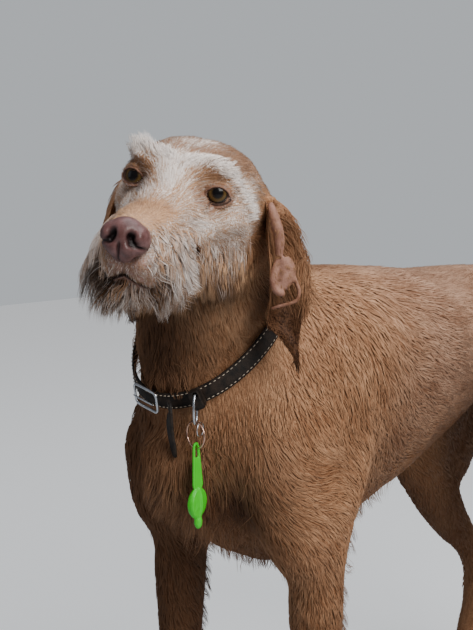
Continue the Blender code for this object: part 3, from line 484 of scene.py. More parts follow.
def smooth_rows(rows, count):
    """Rows of numbers, run through smoothly at even steps of their path."""
    rows = np.array(rows, float)
    step = np.linalg.norm(np.diff(rows, axis=0), axis=1)
    place = np.concatenate([[0], np.cumsum(step)])
    slope = np.gradient(rows, place, axis=0)
    wanted = np.linspace(0, place[-1], count)
    i = np.clip(np.searchsorted(place, wanted) - 1, 0, len(rows) - 2)
    span = place[i + 1] - place[i]
    t = ((wanted - place[i]) / span)[:, None]
    span = span[:, None]
    start = rows[i] * (2 * t**3 - 3 * t**2 + 1) + slope[i] * span * (t**3 - 2 * t**2 + t)
    return start + rows[i + 1] * (3 * t**2 - 2 * t**3) + slope[i + 1] * span * (t**3 - t**2)


def add_tube(bm, rings):
    """A closed skin through equal rings of points, with a fan at each end."""
    loops = [[bm.verts.new(p) for p in ring] for ring in rings]
    for first, second in zip(loops, loops[1:]):
        for k in range(len(first)):
            n = (k + 1) % len(first)
            bm.faces.new((first[k], first[n], second[n], second[k]))
    for loop, ring in ((loops[0], rings[0]), (loops[-1], rings[-1])):
        tip = bm.verts.new(np.mean(ring, axis=0))
        for k in range(len(loop)):
            bm.faces.new((loop[k], loop[(k + 1) % len(loop)], tip))


def add_flap(bm, rows, bows_to):
    """An ear flap, with its hollow side away from bows_to."""
    run = smooth_rows([(*front, *rear, bow) for front, rear, bow in rows], 56)
    rings = []
    for row in run:
        front, rear, bow = row[:3], row[3:6], row[6]
        half = (front - rear) / 2
        out = np.asarray(bows_to) - half * np.dot(bows_to, half) / np.dot(half, half)
        out /= np.linalg.norm(out)
        ring = []
        for turn in np.linspace(0, 2 * math.pi, 36, endpoint=False):
            s, side = math.cos(turn), math.sin(turn)
            thick = 0.0013 * np.sign(side) * abs(side) ** 0.5
            ring.append(from_head((front + rear) / 2 + half * s + out * (bow * (1 - s * s) + thick)))
        rings.append(ring)
    add_tube(bm, rings)


def add_roll(bm, rows, around=12):
    """A soft roll of cartilage through rows of (f, l, u, radius)."""
    run = smooth_rows(rows, 6 * len(rows))
    rings = []
    for i, row in enumerate(run):
        lie = run[min(i + 1, len(run) - 1)][:3] - run[max(i - 1, 0)][:3]
        lie /= np.linalg.norm(lie)
        a = np.cross(lie, [0.3, 0.9, 0.1])
        a /= np.linalg.norm(a)
        b = np.cross(lie, a)
        turns = np.linspace(0, 2 * math.pi, around, endpoint=False)
        rings.append([from_head(row[:3] + (a * math.cos(t) + b * math.sin(t)) * row[3]) for t in turns])
    add_tube(bm, rings)


def fused(name, bm, grain, rounds):
    """Runs the masses in bm together into one smooth object."""
    bmesh.ops.recalc_face_normals(bm, faces=bm.faces)
    mesh = bpy.data.meshes.new(name)
    bm.to_mesh(mesh)
    bm.free()
    obj = new_piece(name, mesh)
    remeshed(obj, grain)
    set_positions(obj.data, spread(positions(obj.data), edge_pairs(obj.data), rounds, 0.6))
    return obj


flaps = bpy.data.meshes.new("ear_flaps")
both = bmesh.new()
for rows, bows_to in ((LEFT_FLAP, (-1.0, 0.35, 0.0)), (RIGHT_FLAP, (0.0, -1.0, 0.0))):
    bm = bmesh.new()
    add_flap(bm, rows, bows_to)
    bmesh.ops.recalc_face_normals(bm, faces=bm.faces)
    if bm.calc_volume(signed=True) < 0:
        bmesh.ops.reverse_faces(bm, faces=bm.faces)
    bm.to_mesh(flaps)
    bm.free()
    both.from_mesh(flaps)
both.to_mesh(flaps)
both.free()

bm = bmesh.new()
ROLLS = [
    [
        (-0.0700, 0.0600, 0.0000, 0.0026), (-0.0640, 0.0650, -0.0075, 0.0040),
        (-0.0610, 0.0695, -0.0150, 0.0046), (-0.0610, 0.0735, -0.0230, 0.0044),
        (-0.0620, 0.0755, -0.0310, 0.0040), (-0.0630, 0.0765, -0.0390, 0.0030),
    ],
    [
        (-0.0640, 0.0800, -0.0400, 0.0050), (-0.0640, 0.0845, -0.0470, 0.0072),
        (-0.0620, 0.0850, -0.0560, 0.0070), (-0.0600, 0.0835, -0.0630, 0.0050),
    ],
    [
        (-0.0640, 0.0770, -0.0420, 0.0030), (-0.0600, 0.0765, -0.0520, 0.0036),
        (-0.0570, 0.0785, -0.0610, 0.0036), (-0.0550, 0.0830, -0.0660, 0.0032),
        (-0.0555, 0.0885, -0.0670, 0.0026),
    ],
    [
        (-0.0640, 0.0905, -0.0500, 0.0016), (-0.0620, 0.0955, -0.0572, 0.0017),
        (-0.0600, 0.0990, -0.0635, 0.0018), (-0.0580, 0.0985, -0.0695, 0.0018),
        (-0.0560, 0.0940, -0.0730, 0.0017), (-0.0550, 0.0870, -0.0765, 0.0016),
        (-0.0560, 0.0800, -0.0805, 0.0014),
    ],
]
for roll in ROLLS:
    add_roll(bm, roll)
cartilage = fused("ear_cartilage", bm, 0.0012, 2)

whole = bmesh.new()
whole.from_mesh(skin.data)
counts = [len(whole.verts)]
for extra in (flaps, cartilage.data):
    whole.from_mesh(extra)
    counts.append(len(whole.verts))
whole.to_mesh(skin.data)
whole.free()
bpy.data.objects.remove(cartilage)
skin.data.shade_smooth()
points = positions(skin.data)
pairs = edge_pairs(skin.data)
q = to_head(points)
is_flap = np.zeros(len(points), bool)
is_flap[counts[0]:counts[1]] = True
is_fold = np.zeros(len(points), bool)
is_fold[counts[1]:] = True
lid_edge = np.concatenate([lid_edge, np.zeros(len(points) - len(lid_edge))])
lid_skin = np.concatenate([lid_skin, np.zeros(len(points) - len(lid_skin))])

# ------------------------------------------------------------------------------------------------ markings
# A rusty brown dog gone grey in the face, with white brows and painted shadow in the gap behind the cheek.
# Each marking is a mask from 0 to 1 on the skin, which the coat takes over too. The dark mask is partly
# darker hair and partly painted shade, and the grey is partly grey hair and partly a painted sheen on the
# upper body.
nodes = nodes_of(points)
on_ear = (is_flap | is_fold).astype(float)
body = 1 - on_ear


def share(*names):
    """How far each point belongs to the named nodes, with soft borders."""
    return spread(by_node(nodes, dict.fromkeys(names, 1.0), 0.0) * body, pairs, 10)


head, neck, chest, trunk = share("head"), share("neck"), share("chest"), share("barrel", "rump")
tail, foreleg, thigh, shank = share("tail"), share("foreleg"), share("thigh"), share("shank")
paw = share("forepaw", "hindpaw")
x, y, z = points.T
f, l, u = q.T
side = np.tanh(l / 0.006)


def near_line(spots, radius):
    """1 along a line through the spots, fading out at the radius."""
    spots = np.array(spots, float)
    best = np.full(len(q), 9.0)
    for a, b in zip(spots, spots[1:]):
        along = np.clip((q - a) @ (b - a) / ((b - a) @ (b - a)), 0, 1)
        best = np.minimum(best, np.linalg.norm(q - a - along[:, None] * (b - a), axis=1))
    return 1 - ease(0.30 * radius, 1.15 * radius, best)


LEFT_BROW = [(0.004, 0.006, 0.018), (0.002, 0.018, 0.021), (0.001, 0.030, 0.020), (-0.002, 0.040, 0.015),
             (-0.018, 0.044, 0.010), (-0.028, 0.049, 0.001), (-0.037, 0.052, -0.010)]
RIGHT_BROW = [(0.004, -0.008, 0.020), (0.002, -0.020, 0.023), (0.000, -0.030, 0.022), (-0.004, -0.040, 0.018),
              (-0.024, -0.046, 0.010), (-0.036, -0.050, 0.000)]
left_brow, right_brow = near_line(LEFT_BROW, 0.0082), near_line(RIGHT_BROW, 0.0120)
brow = np.maximum(left_brow, right_brow) * head
in_face = ease(-0.082, -0.050, f + 0.35 * u) * head
bridge = ease(0.024, 0.050, f) * ease(0.026, 0.010, np.abs(l)) * ease(-0.045, -0.022, u) * head
crown = head * ease(0.004, 0.022, u + 0.10 * f) * ease(0.012, -0.012, f)
cheek = head * ease(-0.038, -0.056, u) * ease(0.040, 0.010, f)
back_of_cheek = head * ease(-0.036, -0.062, f) * ease(0.022, -0.004, u)
lips = head * ease(0.040, 0.060, f) * ease(-0.044, -0.056, u)
from_middle = np.abs(l + 0.0010)
mouth = head * np.exp(-(((u + 0.0662 + 0.52 * from_middle) / 0.0022) ** 2)) * ease(0.045, 0.060, f)
mouth *= ease(0.030, 0.020, from_middle)
left_corner = mound(q, (0.003, 0.0235, 0.010), (0.010, 0.0120, 0.0080))
right_corner = mound(q, (0.001, -0.0270, 0.010), (0.010, 0.0130, 0.0090))
inner_corner = np.maximum(left_corner, right_corner)
over_eye = mound(q, (-0.006, 0.0370, 0.0105), (0.018, 0.0120, 0.0065)) * head
beard_zone = head * ease(-0.056, -0.066, u) * ease(-0.010, 0.012, f)
muzzle_side = head * ease(0.020, 0.045, f) * ease(-0.026, -0.036, u)
pale = in_face * (0.37 - 0.22 * cheek)
pale = np.maximum(pale, 0.43 * muzzle_side)
pale = np.maximum(pale, 1.00 * brow)
pale = pale * (1 - 0.80 * crown * (1 - brow)) * (1 - 0.85 * bridge) * (1 - 0.85 * back_of_cheek)
pale = np.maximum(pale, 0.72 * mound(q, (0.014, 0.000, 0.008), (0.026, 0.013, 0.022)) * head)
pale = np.maximum(pale, 0.66 * mound(q, (0.018, 0.029, -0.022), (0.026, 0.010, 0.013)) * head)
pale = np.maximum(pale, 0.66 * mound(q, (0.018, -0.029, -0.022), (0.026, 0.010, 0.013)) * head)
pale = np.maximum(pale, 0.60 * head * near_line([(0.050, 0.027, -0.044), (0.020, 0.036, -0.062)], 0.012))
pale = pale * (1 - 0.80 * inner_corner) * (1 - 0.55 * over_eye * (1 - brow)) * (1 - 0.30 * beard_zone)
pale = np.maximum(pale, 0.42 * head * mound(q, (-0.030, 0, 0.036), (0.030, 0.022, 0.020)))
pale = spread(pale * (1 - 0.55 * np.clip(lid_skin, 0, 1)), pairs, 5)

tan = np.maximum(bridge, cheek) + 0.5 * muzzle_side * ease(0.0, -0.020, l) + 0.35 * inner_corner
tan = np.clip(tan + 0.35 * in_face * (1 - crown) + 0.32 * neck * ease(0.52, 0.57, z), 0, 1)
normals = vertex_normals(skin.data)
# The dog's left ear lies open. What counts as its hollow side is whatever faces this fixed way, ahead and to
# the left, which is also about the way from the dog to the camera set up at the end.
EAR_OPENS_TO = np.array([0.62, -0.78, 0.0])
facing = normals @ EAR_OPENS_TO
# Painted shade, partly darker hair on the legs: the underside, the legs, the chest and foreleg on the dog's
# right side and the front of the thighs are darkened.
under = ease(0.10, -0.75, normals[:, 2]) * body
on_right = ease(0.020, -0.040, x)
dark_and_painted_shade = 0.45 * under * (1 - 0.8 * head) + 0.42 * foreleg + 0.48 * thigh + 0.45 * shank + 0.34 * paw
dark_and_painted_shade = np.maximum(dark_and_painted_shade, (0.78 * chest + 0.80 * foreleg) * on_right * ease(0.06, -0.14, y))
dark_and_painted_shade = np.maximum(dark_and_painted_shade, 0.60 * thigh * ease(0.40, -0.40, normals[:, 1]))
dark_and_painted_shade = spread(np.clip(dark_and_painted_shade, 0, 1), pairs, 60)
crease = [(0.062, 0.038, 0.458), (0.055, -0.005, 0.432), (0.040, -0.040, 0.402), (0.040, -0.088, 0.394)]
crease = np.min([np.linalg.norm(points - spot, axis=1) for spot in smooth_rows(crease, 40)], axis=0)
# Painted shade, with some darker hair: the lower front of the chest, a hollow on its left, a crease on the
# dog's left side, the throat under the jaw, the inner corners of the eyes, the skin round the eyes (more
# round the right eye) and the right side of the beard. The crown's darker hair is its own colour.
darker_and_shaded_places = [
    0.50 * chest * ease(-0.24, -0.29, y) * ease(0.50, 0.46, z),
    mound(points, (0.042, -0.285, 0.415), (0.032, 0.040, 0.040)),
    0.45 * ease(0.020, 0.006, crease) * body,
    neck * mound(points, (-0.010, -0.330, 0.560), (0.060, 0.055, 0.070)),
    0.12 * neck * ease(0.585, 0.560, z) * ease(-0.27, -0.30, y),
    0.55 * inner_corner,
    spread(np.clip(lid_skin, 0, 1) * (0.45 + 0.20 * (l < 0)), pairs, 4),
    0.35 * beard_zone * ease(-0.035, -0.015, l),
    0.25 * crown * (1 - brow),
]
for place in darker_and_shaded_places:
    dark_and_painted_shade = np.maximum(dark_and_painted_shade, place)
# The inside of the open left ear darkens down to its lobe: partly its own dark hair, partly painted shade in
# the ear's hollow.
flap_share = np.clip((q[:, 0] + 0.057) / -0.030, 0, 1)
ear_inside = is_flap * ease(0.0, 0.3, facing) * (l > 0)
lobe = 1 - 0.70 * ease(0.55, 0.85, flap_share) * ease(-0.104, -0.090, u)
lobe = (0.65 + 0.35 * ease(-0.066, -0.078, u)) * lobe
dark_and_painted_shade = np.maximum(dark_and_painted_shade, ear_inside * lobe)
dark_and_painted_shade = np.maximum(dark_and_painted_shade, 0.8 * is_flap * ease(-0.100, -0.112, u))
# Painted shadow in the gap behind the cheek, under the ear.
dark_and_painted_shade = np.maximum(dark_and_painted_shade, mound(q, (-0.101, 0.0625, -0.068), (0.020, 0.018, 0.028)) * body)
dark_and_painted_shade = np.maximum(dark_and_painted_shade, mouth)
# Painted shade low on the head behind the mouth, under the jaw.
dark_and_painted_shade = np.clip(dark_and_painted_shade + 0.45 * head * ease(-0.056, -0.072, u) * ease(0.020, -0.030, f), 0, 1)
# Greyer hair over the upper body and crown: partly the old dog's grey hair, partly a painted sheen on the top
# of the body.
grey_and_sheen = trunk * 0.50 + thigh * 0.30 + chest * ease(-0.17, -0.06, y) * 0.50
grey_and_sheen = spread(np.clip(grey_and_sheen * ease(0.40, 0.52, z), 0, 1), pairs, 50)
grey_and_sheen = np.clip(grey_and_sheen + 0.30 * crown, 0, 1)
pink = np.clip(0.75 * lips * ease(0.026, 0.012, np.abs(l)) + lid_skin * 0.45 + 0.12 * bridge, 0, 1)
rim = is_fold * ease(0.088, 0.092, l)
pink = np.maximum(pink, is_fold * (0.72 - 0.20 * rim))
dark_and_painted_shade = np.maximum(dark_and_painted_shade, is_fold * (0.16 + 0.14 * rim))
MOLE_AT = (0.0225, 0.0311, -0.0412)
from_mole = np.linalg.norm(q - MOLE_AT, axis=1)
mole = from_mole < 0.0016
dark_and_painted_shade = np.maximum(dark_and_painted_shade, ease(0.0040, 0.0030, from_mole))
pale = pale * ease(0.0030, 0.0040, from_mole)
belly = trunk * ease(0.20, -0.55, normals[:, 2]) * ease(0.02, 0.12, y)
pink = np.maximum(pink, 0.55 * belly)
# Painted shade in the ear canal, which the skin shows near black.
canal_shade = is_flap * mound(q, (-0.074, 0.0790, -0.0290), (0.010, 0.0070, 0.0110))


def keep(mesh, name, *columns):
    """Stores up to four masks on the mesh's points, as one colour attribute."""
    columns = [np.broadcast_to(c, len(mesh.vertices)) for c in columns]
    columns += [np.ones(len(mesh.vertices))] * (4 - len(columns))
    layer = mesh.attributes.new(name, "FLOAT_COLOR", "POINT")
    layer.data.foreach_set("color", np.clip(np.stack(columns, 1), 0, 1).astype(np.float32).ravel())


keep(skin.data, "markings", pale, dark_and_painted_shade, grey_and_sheen, pink)
keep(skin.data, "details", tan, np.clip(lid_edge + mouth + mole, 0, 1), canal_shade, 1.0)


# ------------------------------------------------------------------------------------------------ hair colour
# The hair's colours, mixed the same way on skin and coat. Each hair is brown or white by its own chance,
# dark at the root and lighter along its length.
ROOT_BROWN = (0.150, 0.060, 0.028, 1)
RUST = (0.225, 0.092, 0.038, 1)
GOLD = (0.560, 0.310, 0.170, 1)
# Deep brown is the colour of the darkest hair, and also of the painted shade that the dark mask carries.
DEEP_BROWN_AND_SHADE = (0.026, 0.007, 0.0015, 1)
ASH = (0.200, 0.110, 0.075, 1)
GREY_BROWN = (0.620, 0.440, 0.360, 1)
OCHRE = (0.300, 0.125, 0.045, 1)
FAWN = (0.860, 0.540, 0.320, 1)
WHITE_ROOT = (0.340, 0.210, 0.155, 1)
WHITE = (0.960, 0.860, 0.790, 1)
DEEP_FLUSH = (0.150, 0.062, 0.045, 1)
LIGHT_FLUSH = (0.430, 0.235, 0.190, 1)
RIM_BROWN = (0.030, 0.014, 0.011, 1)
CANAL_SHADE = (0.020, 0.008, 0.006, 1)


def colour_node(tree, kind, factor, first, second):
    """A colour mix node. Factor and colours are sockets or plain values."""
    node = tree.nodes.new("ShaderNodeMix")
    node.data_type = "RGBA"
    node.blend_type = kind
    for socket, value in (("Factor", factor), ("A", first), ("B", second)):
        target = next(i for i in node.inputs if i.name == socket and i.enabled)
        if isinstance(value, (int, float, tuple)):
            target.default_value = value
        else:
            tree.links.new(value, target)
    return next(o for o in node.outputs if o.enabled)


def number_node(tree, operation, *values, clamp=False):
    node = tree.nodes.new("ShaderNodeMath")
    node.operation = operation
    node.use_clamp = clamp
    for target, value in zip(node.inputs, values):
        if isinstance(value, (int, float)):
            target.default_value = value
        else:
            tree.links.new(value, target)
    return node.outputs[0]


def finish(name, roughness, specular=None):
    """A new material, with its tree, its shader and the place on the piece that patterns read."""
    made = bpy.data.materials.new(name)
    made.use_nodes = True
    tree = made.node_tree
    shader = tree.nodes["Principled BSDF"]
    shader.inputs["Roughness"].default_value = roughness
    if specular is not None:
        shader.inputs["Specular IOR Level"].default_value = specular
    return made, tree, shader, tree.nodes.new("ShaderNodeTexCoord").outputs["Object"]


def pattern(tree, kind, place, scale, detail=None):
    """A Noise or Voronoi texture node at the given place."""
    node = tree.nodes.new("ShaderNodeTex" + kind)
    node.inputs["Scale"].default_value = scale
    if detail is not None:
        node.inputs["Detail"].default_value = detail
    tree.links.new(place, node.inputs["Vector"])
    return node.outputs


def mask(tree, name):
    """The masks kept on the mesh under a name, as separate values."""
    node = tree.nodes.new("ShaderNodeAttribute")
    node.attribute_name = name
    split = tree.nodes.new("ShaderNodeSeparateColor")
    tree.links.new(node.outputs["Color"], split.inputs[0])
    return split.outputs, node.outputs


def roughened(tree, shader, height, strength, distance):
    """Gives the surface a fine relief."""
    bump = tree.nodes.new("ShaderNodeBump")
    bump.inputs["Strength"].default_value = strength
    bump.inputs["Distance"].default_value = distance
    tree.links.new(height, bump.inputs["Height"])
    tree.links.new(bump.outputs["Normal"], shader.inputs["Normal"])


hair_colour = bpy.data.node_groups.new("hair_colour", "ShaderNodeTree")
hair_colour.interface.new_socket("Place", in_out="INPUT", socket_type="NodeSocketVector")
for name in ("Pale", "DarkAndShade", "GreyAndSheen", "Tan", "Chance", "Along"):
    hair_colour.interface.new_socket(name, in_out="INPUT", socket_type="NodeSocketFloat")
hair_colour.interface.new_socket("Color", in_out="OUTPUT", socket_type="NodeSocketColor")
tree = hair_colour
given = tree.nodes.new("NodeGroupInput").outputs
cloud = pattern(tree, "Noise", given["Place"], 22.0, 4.0)
drift = number_node(tree, "MULTIPLY_ADD", cloud["Fac"], 0.9, -0.52)
light = number_node(tree, "MULTIPLY_ADD", given["Chance"], 0.85, drift)
light = number_node(tree, "MULTIPLY_ADD", given["Along"], 0.25, light, clamp=True)
brown = colour_node(tree, "MIX", light, RUST, GOLD)
# The grey mix, which also carries the painted sheen on the upper body.
greyed = colour_node(tree, "MIX", light, ASH, GREY_BROWN)
brown = colour_node(tree, "MIX", number_node(tree, "MULTIPLY", given["GreyAndSheen"], 0.80), brown, greyed)
tanned = colour_node(tree, "MIX", light, OCHRE, FAWN)
brown = colour_node(tree, "MIX", number_node(tree, "MULTIPLY", given["Tan"], 0.85), brown, tanned)
depth_of = number_node(tree, "MULTIPLY_ADD", given["Chance"], 0.5, 0.6)
# Where the dark mask is high the hair turns deep brown: darker hair, and painted shade where the mask holds
# it.
brown = colour_node(tree, "MIX", number_node(tree, "MULTIPLY", given["DarkAndShade"], depth_of), brown, DEEP_BROWN_AND_SHADE)
at_root = number_node(tree, "SUBTRACT", 0.45, number_node(tree, "MULTIPLY", given["Along"], 1.1), clamp=True)
brown = colour_node(tree, "MIX", at_root, brown, ROOT_BROWN)
whiten = number_node(tree, "SUBTRACT", number_node(tree, "MULTIPLY", given["Pale"], 1.25), given["Chance"])
whiten = number_node(tree, "MULTIPLY_ADD", whiten, 1.6, 0.42, clamp=True)
whiten = number_node(tree, "MULTIPLY", whiten, number_node(tree, "MULTIPLY", given["Pale"], 5.0, clamp=True))
white = colour_node(tree, "MIX", number_node(tree, "MULTIPLY", at_root, 0.9), WHITE, WHITE_ROOT)
mixed = colour_node(tree, "MIX", whiten, brown, white)
tree.links.new(mixed, tree.nodes.new("NodeGroupOutput").inputs[0])


def hair_material(name, roughness, chance_from_noise):
    """Hair, or skin, which takes each spot's chance from fine noise and shows pink where it is bare."""
    made, tree, shader, place = finish(name, roughness, 0.15)
    marks, whole_marks = mask(tree, "markings")
    details, _ = mask(tree, "details")
    group = tree.nodes.new("ShaderNodeGroup")
    group.node_tree = hair_colour
    tree.links.new(place, group.inputs["Place"])
    for socket, source in (("Pale", "Red"), ("DarkAndShade", "Green"), ("GreyAndSheen", "Blue")):
        tree.links.new(marks[source], group.inputs[socket])
    tree.links.new(details["Red"], group.inputs["Tan"])
    colour = group.outputs["Color"]
    if chance_from_noise:
        grain = pattern(tree, "Noise", place, 700.0, 2.0)
        chance = number_node(tree, "MULTIPLY_ADD", grain["Fac"], 2.2, -0.6, clamp=True)
        tree.links.new(chance, group.inputs["Chance"])
        group.inputs["Along"].default_value = 0.42
        patches = pattern(tree, "Noise", place, 90.0, 4.0)
        flush = number_node(tree, "MULTIPLY_ADD", patches["Fac"], 2.4, -0.7, clamp=True)
        bare = colour_node(tree, "MIX", flush, DEEP_FLUSH, LIGHT_FLUSH)
        colour = colour_node(tree, "MIX", whole_marks["Alpha"], colour, bare)
        colour = colour_node(tree, "MIX", details["Green"], colour, RIM_BROWN)
        # The ear canal takes its painted shade.
        colour = colour_node(tree, "MIX", details["Blue"], colour, CANAL_SHADE)
        roughened(tree, shader, grain["Fac"], 0.5, 0.0008)
    else:
        lock, _ = mask(tree, "lock")
        tree.links.new(lock["Red"], group.inputs["Chance"])
        tree.links.new(lock["Green"], group.inputs["Along"])
    tree.links.new(colour, shader.inputs["Base Color"])
    return made


skin.data.materials.clear()
skin.data.materials.append(hair_material("skin", 0.62, True))
skin.data.polygons.foreach_set("material_index", np.zeros(len(skin.data.polygons), np.int32))
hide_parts(*FLESH, *EARS)
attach(skin, "root")
bpy.ops.object.select_all(action="DESELECT")
bpy.context.view_layer.objects.active = skin
skin.select_set(True)
bpy.ops.object.mode_set(mode="EDIT")
bpy.ops.mesh.select_all(action="SELECT")
bpy.ops.uv.smart_project(angle_limit=math.radians(75), island_margin=0.002)
bpy.ops.object.mode_set(mode="OBJECT")
skin.data.uv_layers[0].name = "OFBake"

# ------------------------------------------------------------------------------------------------ lying coat
# A harsh, wavy coat. Every tuft is a closed, tapering lock rooted in the skin, which lies along the body and
# gathers with its neighbours. Its length, lie and wave change over the body as they do on the real breed.

# The lie: the way the hair points, in the dog's own axes.
normals = vertex_normals(skin.data)
ones = np.ones(len(points))


def stack(a, b, c):
    return np.stack([a * ones, b * ones, c * ones], 1)


low_face = ease(-0.012, -0.045, u)
at_lips = ease(0.030, 0.058, f)
head_lie = stack(-1.0, 0.22 * side, 0.15) * (1 - low_face)[:, None]
head_lie += stack(-0.70, 0.12 * side, -0.65) * (low_face * (1 - at_lips))[:, None]
head_lie += stack(-0.45, 0.35 * side, -0.85) * (low_face * at_lips)[:, None]
head_lie = head_lie @ HEAD_AXES
to_front = ease(-0.05, -0.17, y)
to_side = np.abs(normals[:, 0])
trunk_lie = stack(0, 0.95, -0.15 - 0.20 * to_side)
chest_lie = trunk_lie * (1 - to_front)[:, None] + stack(0, 0.10 + 0.18 * to_side, -1.0) * to_front[:, None]
for s in (-1, 1):
    at_shoulder = mound(points, (s * 0.085, -0.235, 0.430), (0.045, 0.050, 0.045))[:, None]
    chest_lie = chest_lie * (1 - at_shoulder) + stack(0, 1.0, -0.15) * at_shoulder
under_jaw = ease(0.585, 0.625, z)
neck_lie = stack(0, 0.30 * to_side + 1.2 * under_jaw * to_side, -1.0 + 0.6 * under_jaw * to_side)
lie = head_lie * head[:, None] + neck_lie * neck[:, None] + chest_lie * chest[:, None]
tail_lie = stack(0, 0.32, -0.95)
foreleg_lie = stack(0, 0.22, -1.0)
lie += trunk_lie * trunk[:, None] + tail_lie * tail[:, None] + foreleg_lie * foreleg[:, None]
lie += stack(0, 0.55, -0.85) * thigh[:, None] + stack(0, 0.35, -0.95) * shank[:, None]
lie += stack(0, -0.45, -0.9) * paw[:, None] + stack(0, 0.10, -1.0) * on_ear[:, None]


def unit(vectors):
    return vectors / np.maximum(np.linalg.norm(vectors, axis=1), 1e-9)[:, None]


def along_skin(vectors, normals):
    """The vectors laid flat on the skin, at length 1."""
    return unit(vectors - normals * (vectors * normals).sum(1)[:, None])


lie = along_skin(spread(along_skin(lie, normals), pairs, 10), normals)


def ripple(spots, length, seed):
    """A smooth random value between about -1 and 1, which changes over the given length."""
    chance = np.random.default_rng(seed)
    total = np.zeros(len(spots))
    for _ in range(7):
        way = chance.normal(size=3)
        way *= 2 * math.pi / length * chance.uniform(0.7, 1.4) / np.linalg.norm(way)
        total += np.sin(spots @ way + chance.uniform(0, 2 * math.pi))
    return total / 2.7


def turned(vectors, normals, angle):
    """The vectors turned about the normals."""
    return vectors * np.cos(angle)[:, None] + np.cross(normals, vectors) * np.sin(angle)[:, None]


# Length and stand of the hair at each point of the skin, by the part of the body.
def by_part(head_, neck_, chest_, trunk_, tail_, foreleg_, thigh_, shank_, paw_, ear_):
    parts = (head, neck, chest, trunk, tail, foreleg, thigh, shank, paw, on_ear)
    rows = (head_, neck_, chest_, trunk_, tail_, foreleg_, thigh_, shank_, paw_, ear_)
    total = sum(p * r for p, r in zip(parts, rows))
    return total / np.maximum(sum(parts), 1e-6)


hair_length = by_part(0.0120, 0.018, 0.021, 0.0135, 0.020, 0.016, 0.014, 0.012, 0.008, 0.016)
stand = by_part(0.0015, 0.0018, 0.0022, 0.0022, 0.0032, 0.0026, 0.0018, 0.0018, 0.0012, 0.0022)
wave = by_part(0.20, 0.12, 0.14, 0.08, 0.20, 0.16, 0.14, 0.14, 0.10, 0.26)
hair_length = hair_length + 0.004 * cheek * head + 0.004 * back_of_cheek
skin.data.calc_loop_triangles()
count = len(skin.data.loop_triangles)
skin_triangles = np.empty(count * 3, np.int32)
skin.data.loop_triangles.foreach_get("vertices", skin_triangles)
skin_triangles = skin_triangles.reshape(-1, 3)
triangle_loops = np.empty(count * 3, np.int32)
skin.data.loop_triangles.foreach_get("loops", triangle_loops)
flat_uv = np.empty(len(skin.data.loops) * 2, np.float32)
skin.data.uv_layers["OFBake"].data.foreach_get("uv", flat_uv)
triangle_uv = flat_uv.reshape(-1, 2)[triangle_loops].reshape(-1, 3, 2)
corner = points[skin_triangles]
triangle_area = np.linalg.norm(np.cross(corner[:, 1] - corner[:, 0], corner[:, 2] - corner[:, 0]), axis=1) / 2
skin_tree = BVHTree.FromPolygons(points.tolist(), skin_triangles.tolist())


def nearest_skin(spots):
    found = [skin_tree.find_nearest(spot) for spot in spots.tolist()]
    return np.array([hit[0][:] for hit in found]), np.array([hit[1][:] for hit in found])


class Roots:
    """Evenly scattered places on the skin, with one tuft to every spacing squared of the weighted area."""

    def __init__(self, weight, spacing, seed):
        self.chance = np.random.default_rng(seed)
        wanted = (triangle_area[:, None] / 3 * (weight / (spacing * ones) ** 2)[skin_triangles]).sum(1)
        running = np.cumsum(wanted)
        number = int(running[-1])
        spots = (np.arange(number) + self.chance.random(number)) * running[-1] / number
        self.triangle = np.minimum(np.searchsorted(running, spots), len(running) - 1)
        a, b = self.chance.random((2, number))
        over = a + b > 1
        a, b = np.where(over, 1 - a, a), np.where(over, 1 - b, b)
        self.parts = np.stack([1 - a - b, a, b], 1)
        self.number = number

    def of(self, values):
        found = values[skin_triangles[self.triangle]]
        parts = self.parts if found.ndim == 2 else self.parts[:, :, None]
        return (found * parts).sum(1)

    def uv(self):
        return (triangle_uv[self.triangle] * self.parts[:, :, None]).sum(1)


# The little patch that each tuft takes on the unwrap of the skin, about its root's place.
PATCH_HALF_WIDTH = 0.001
PATCH_LENGTH = 0.003


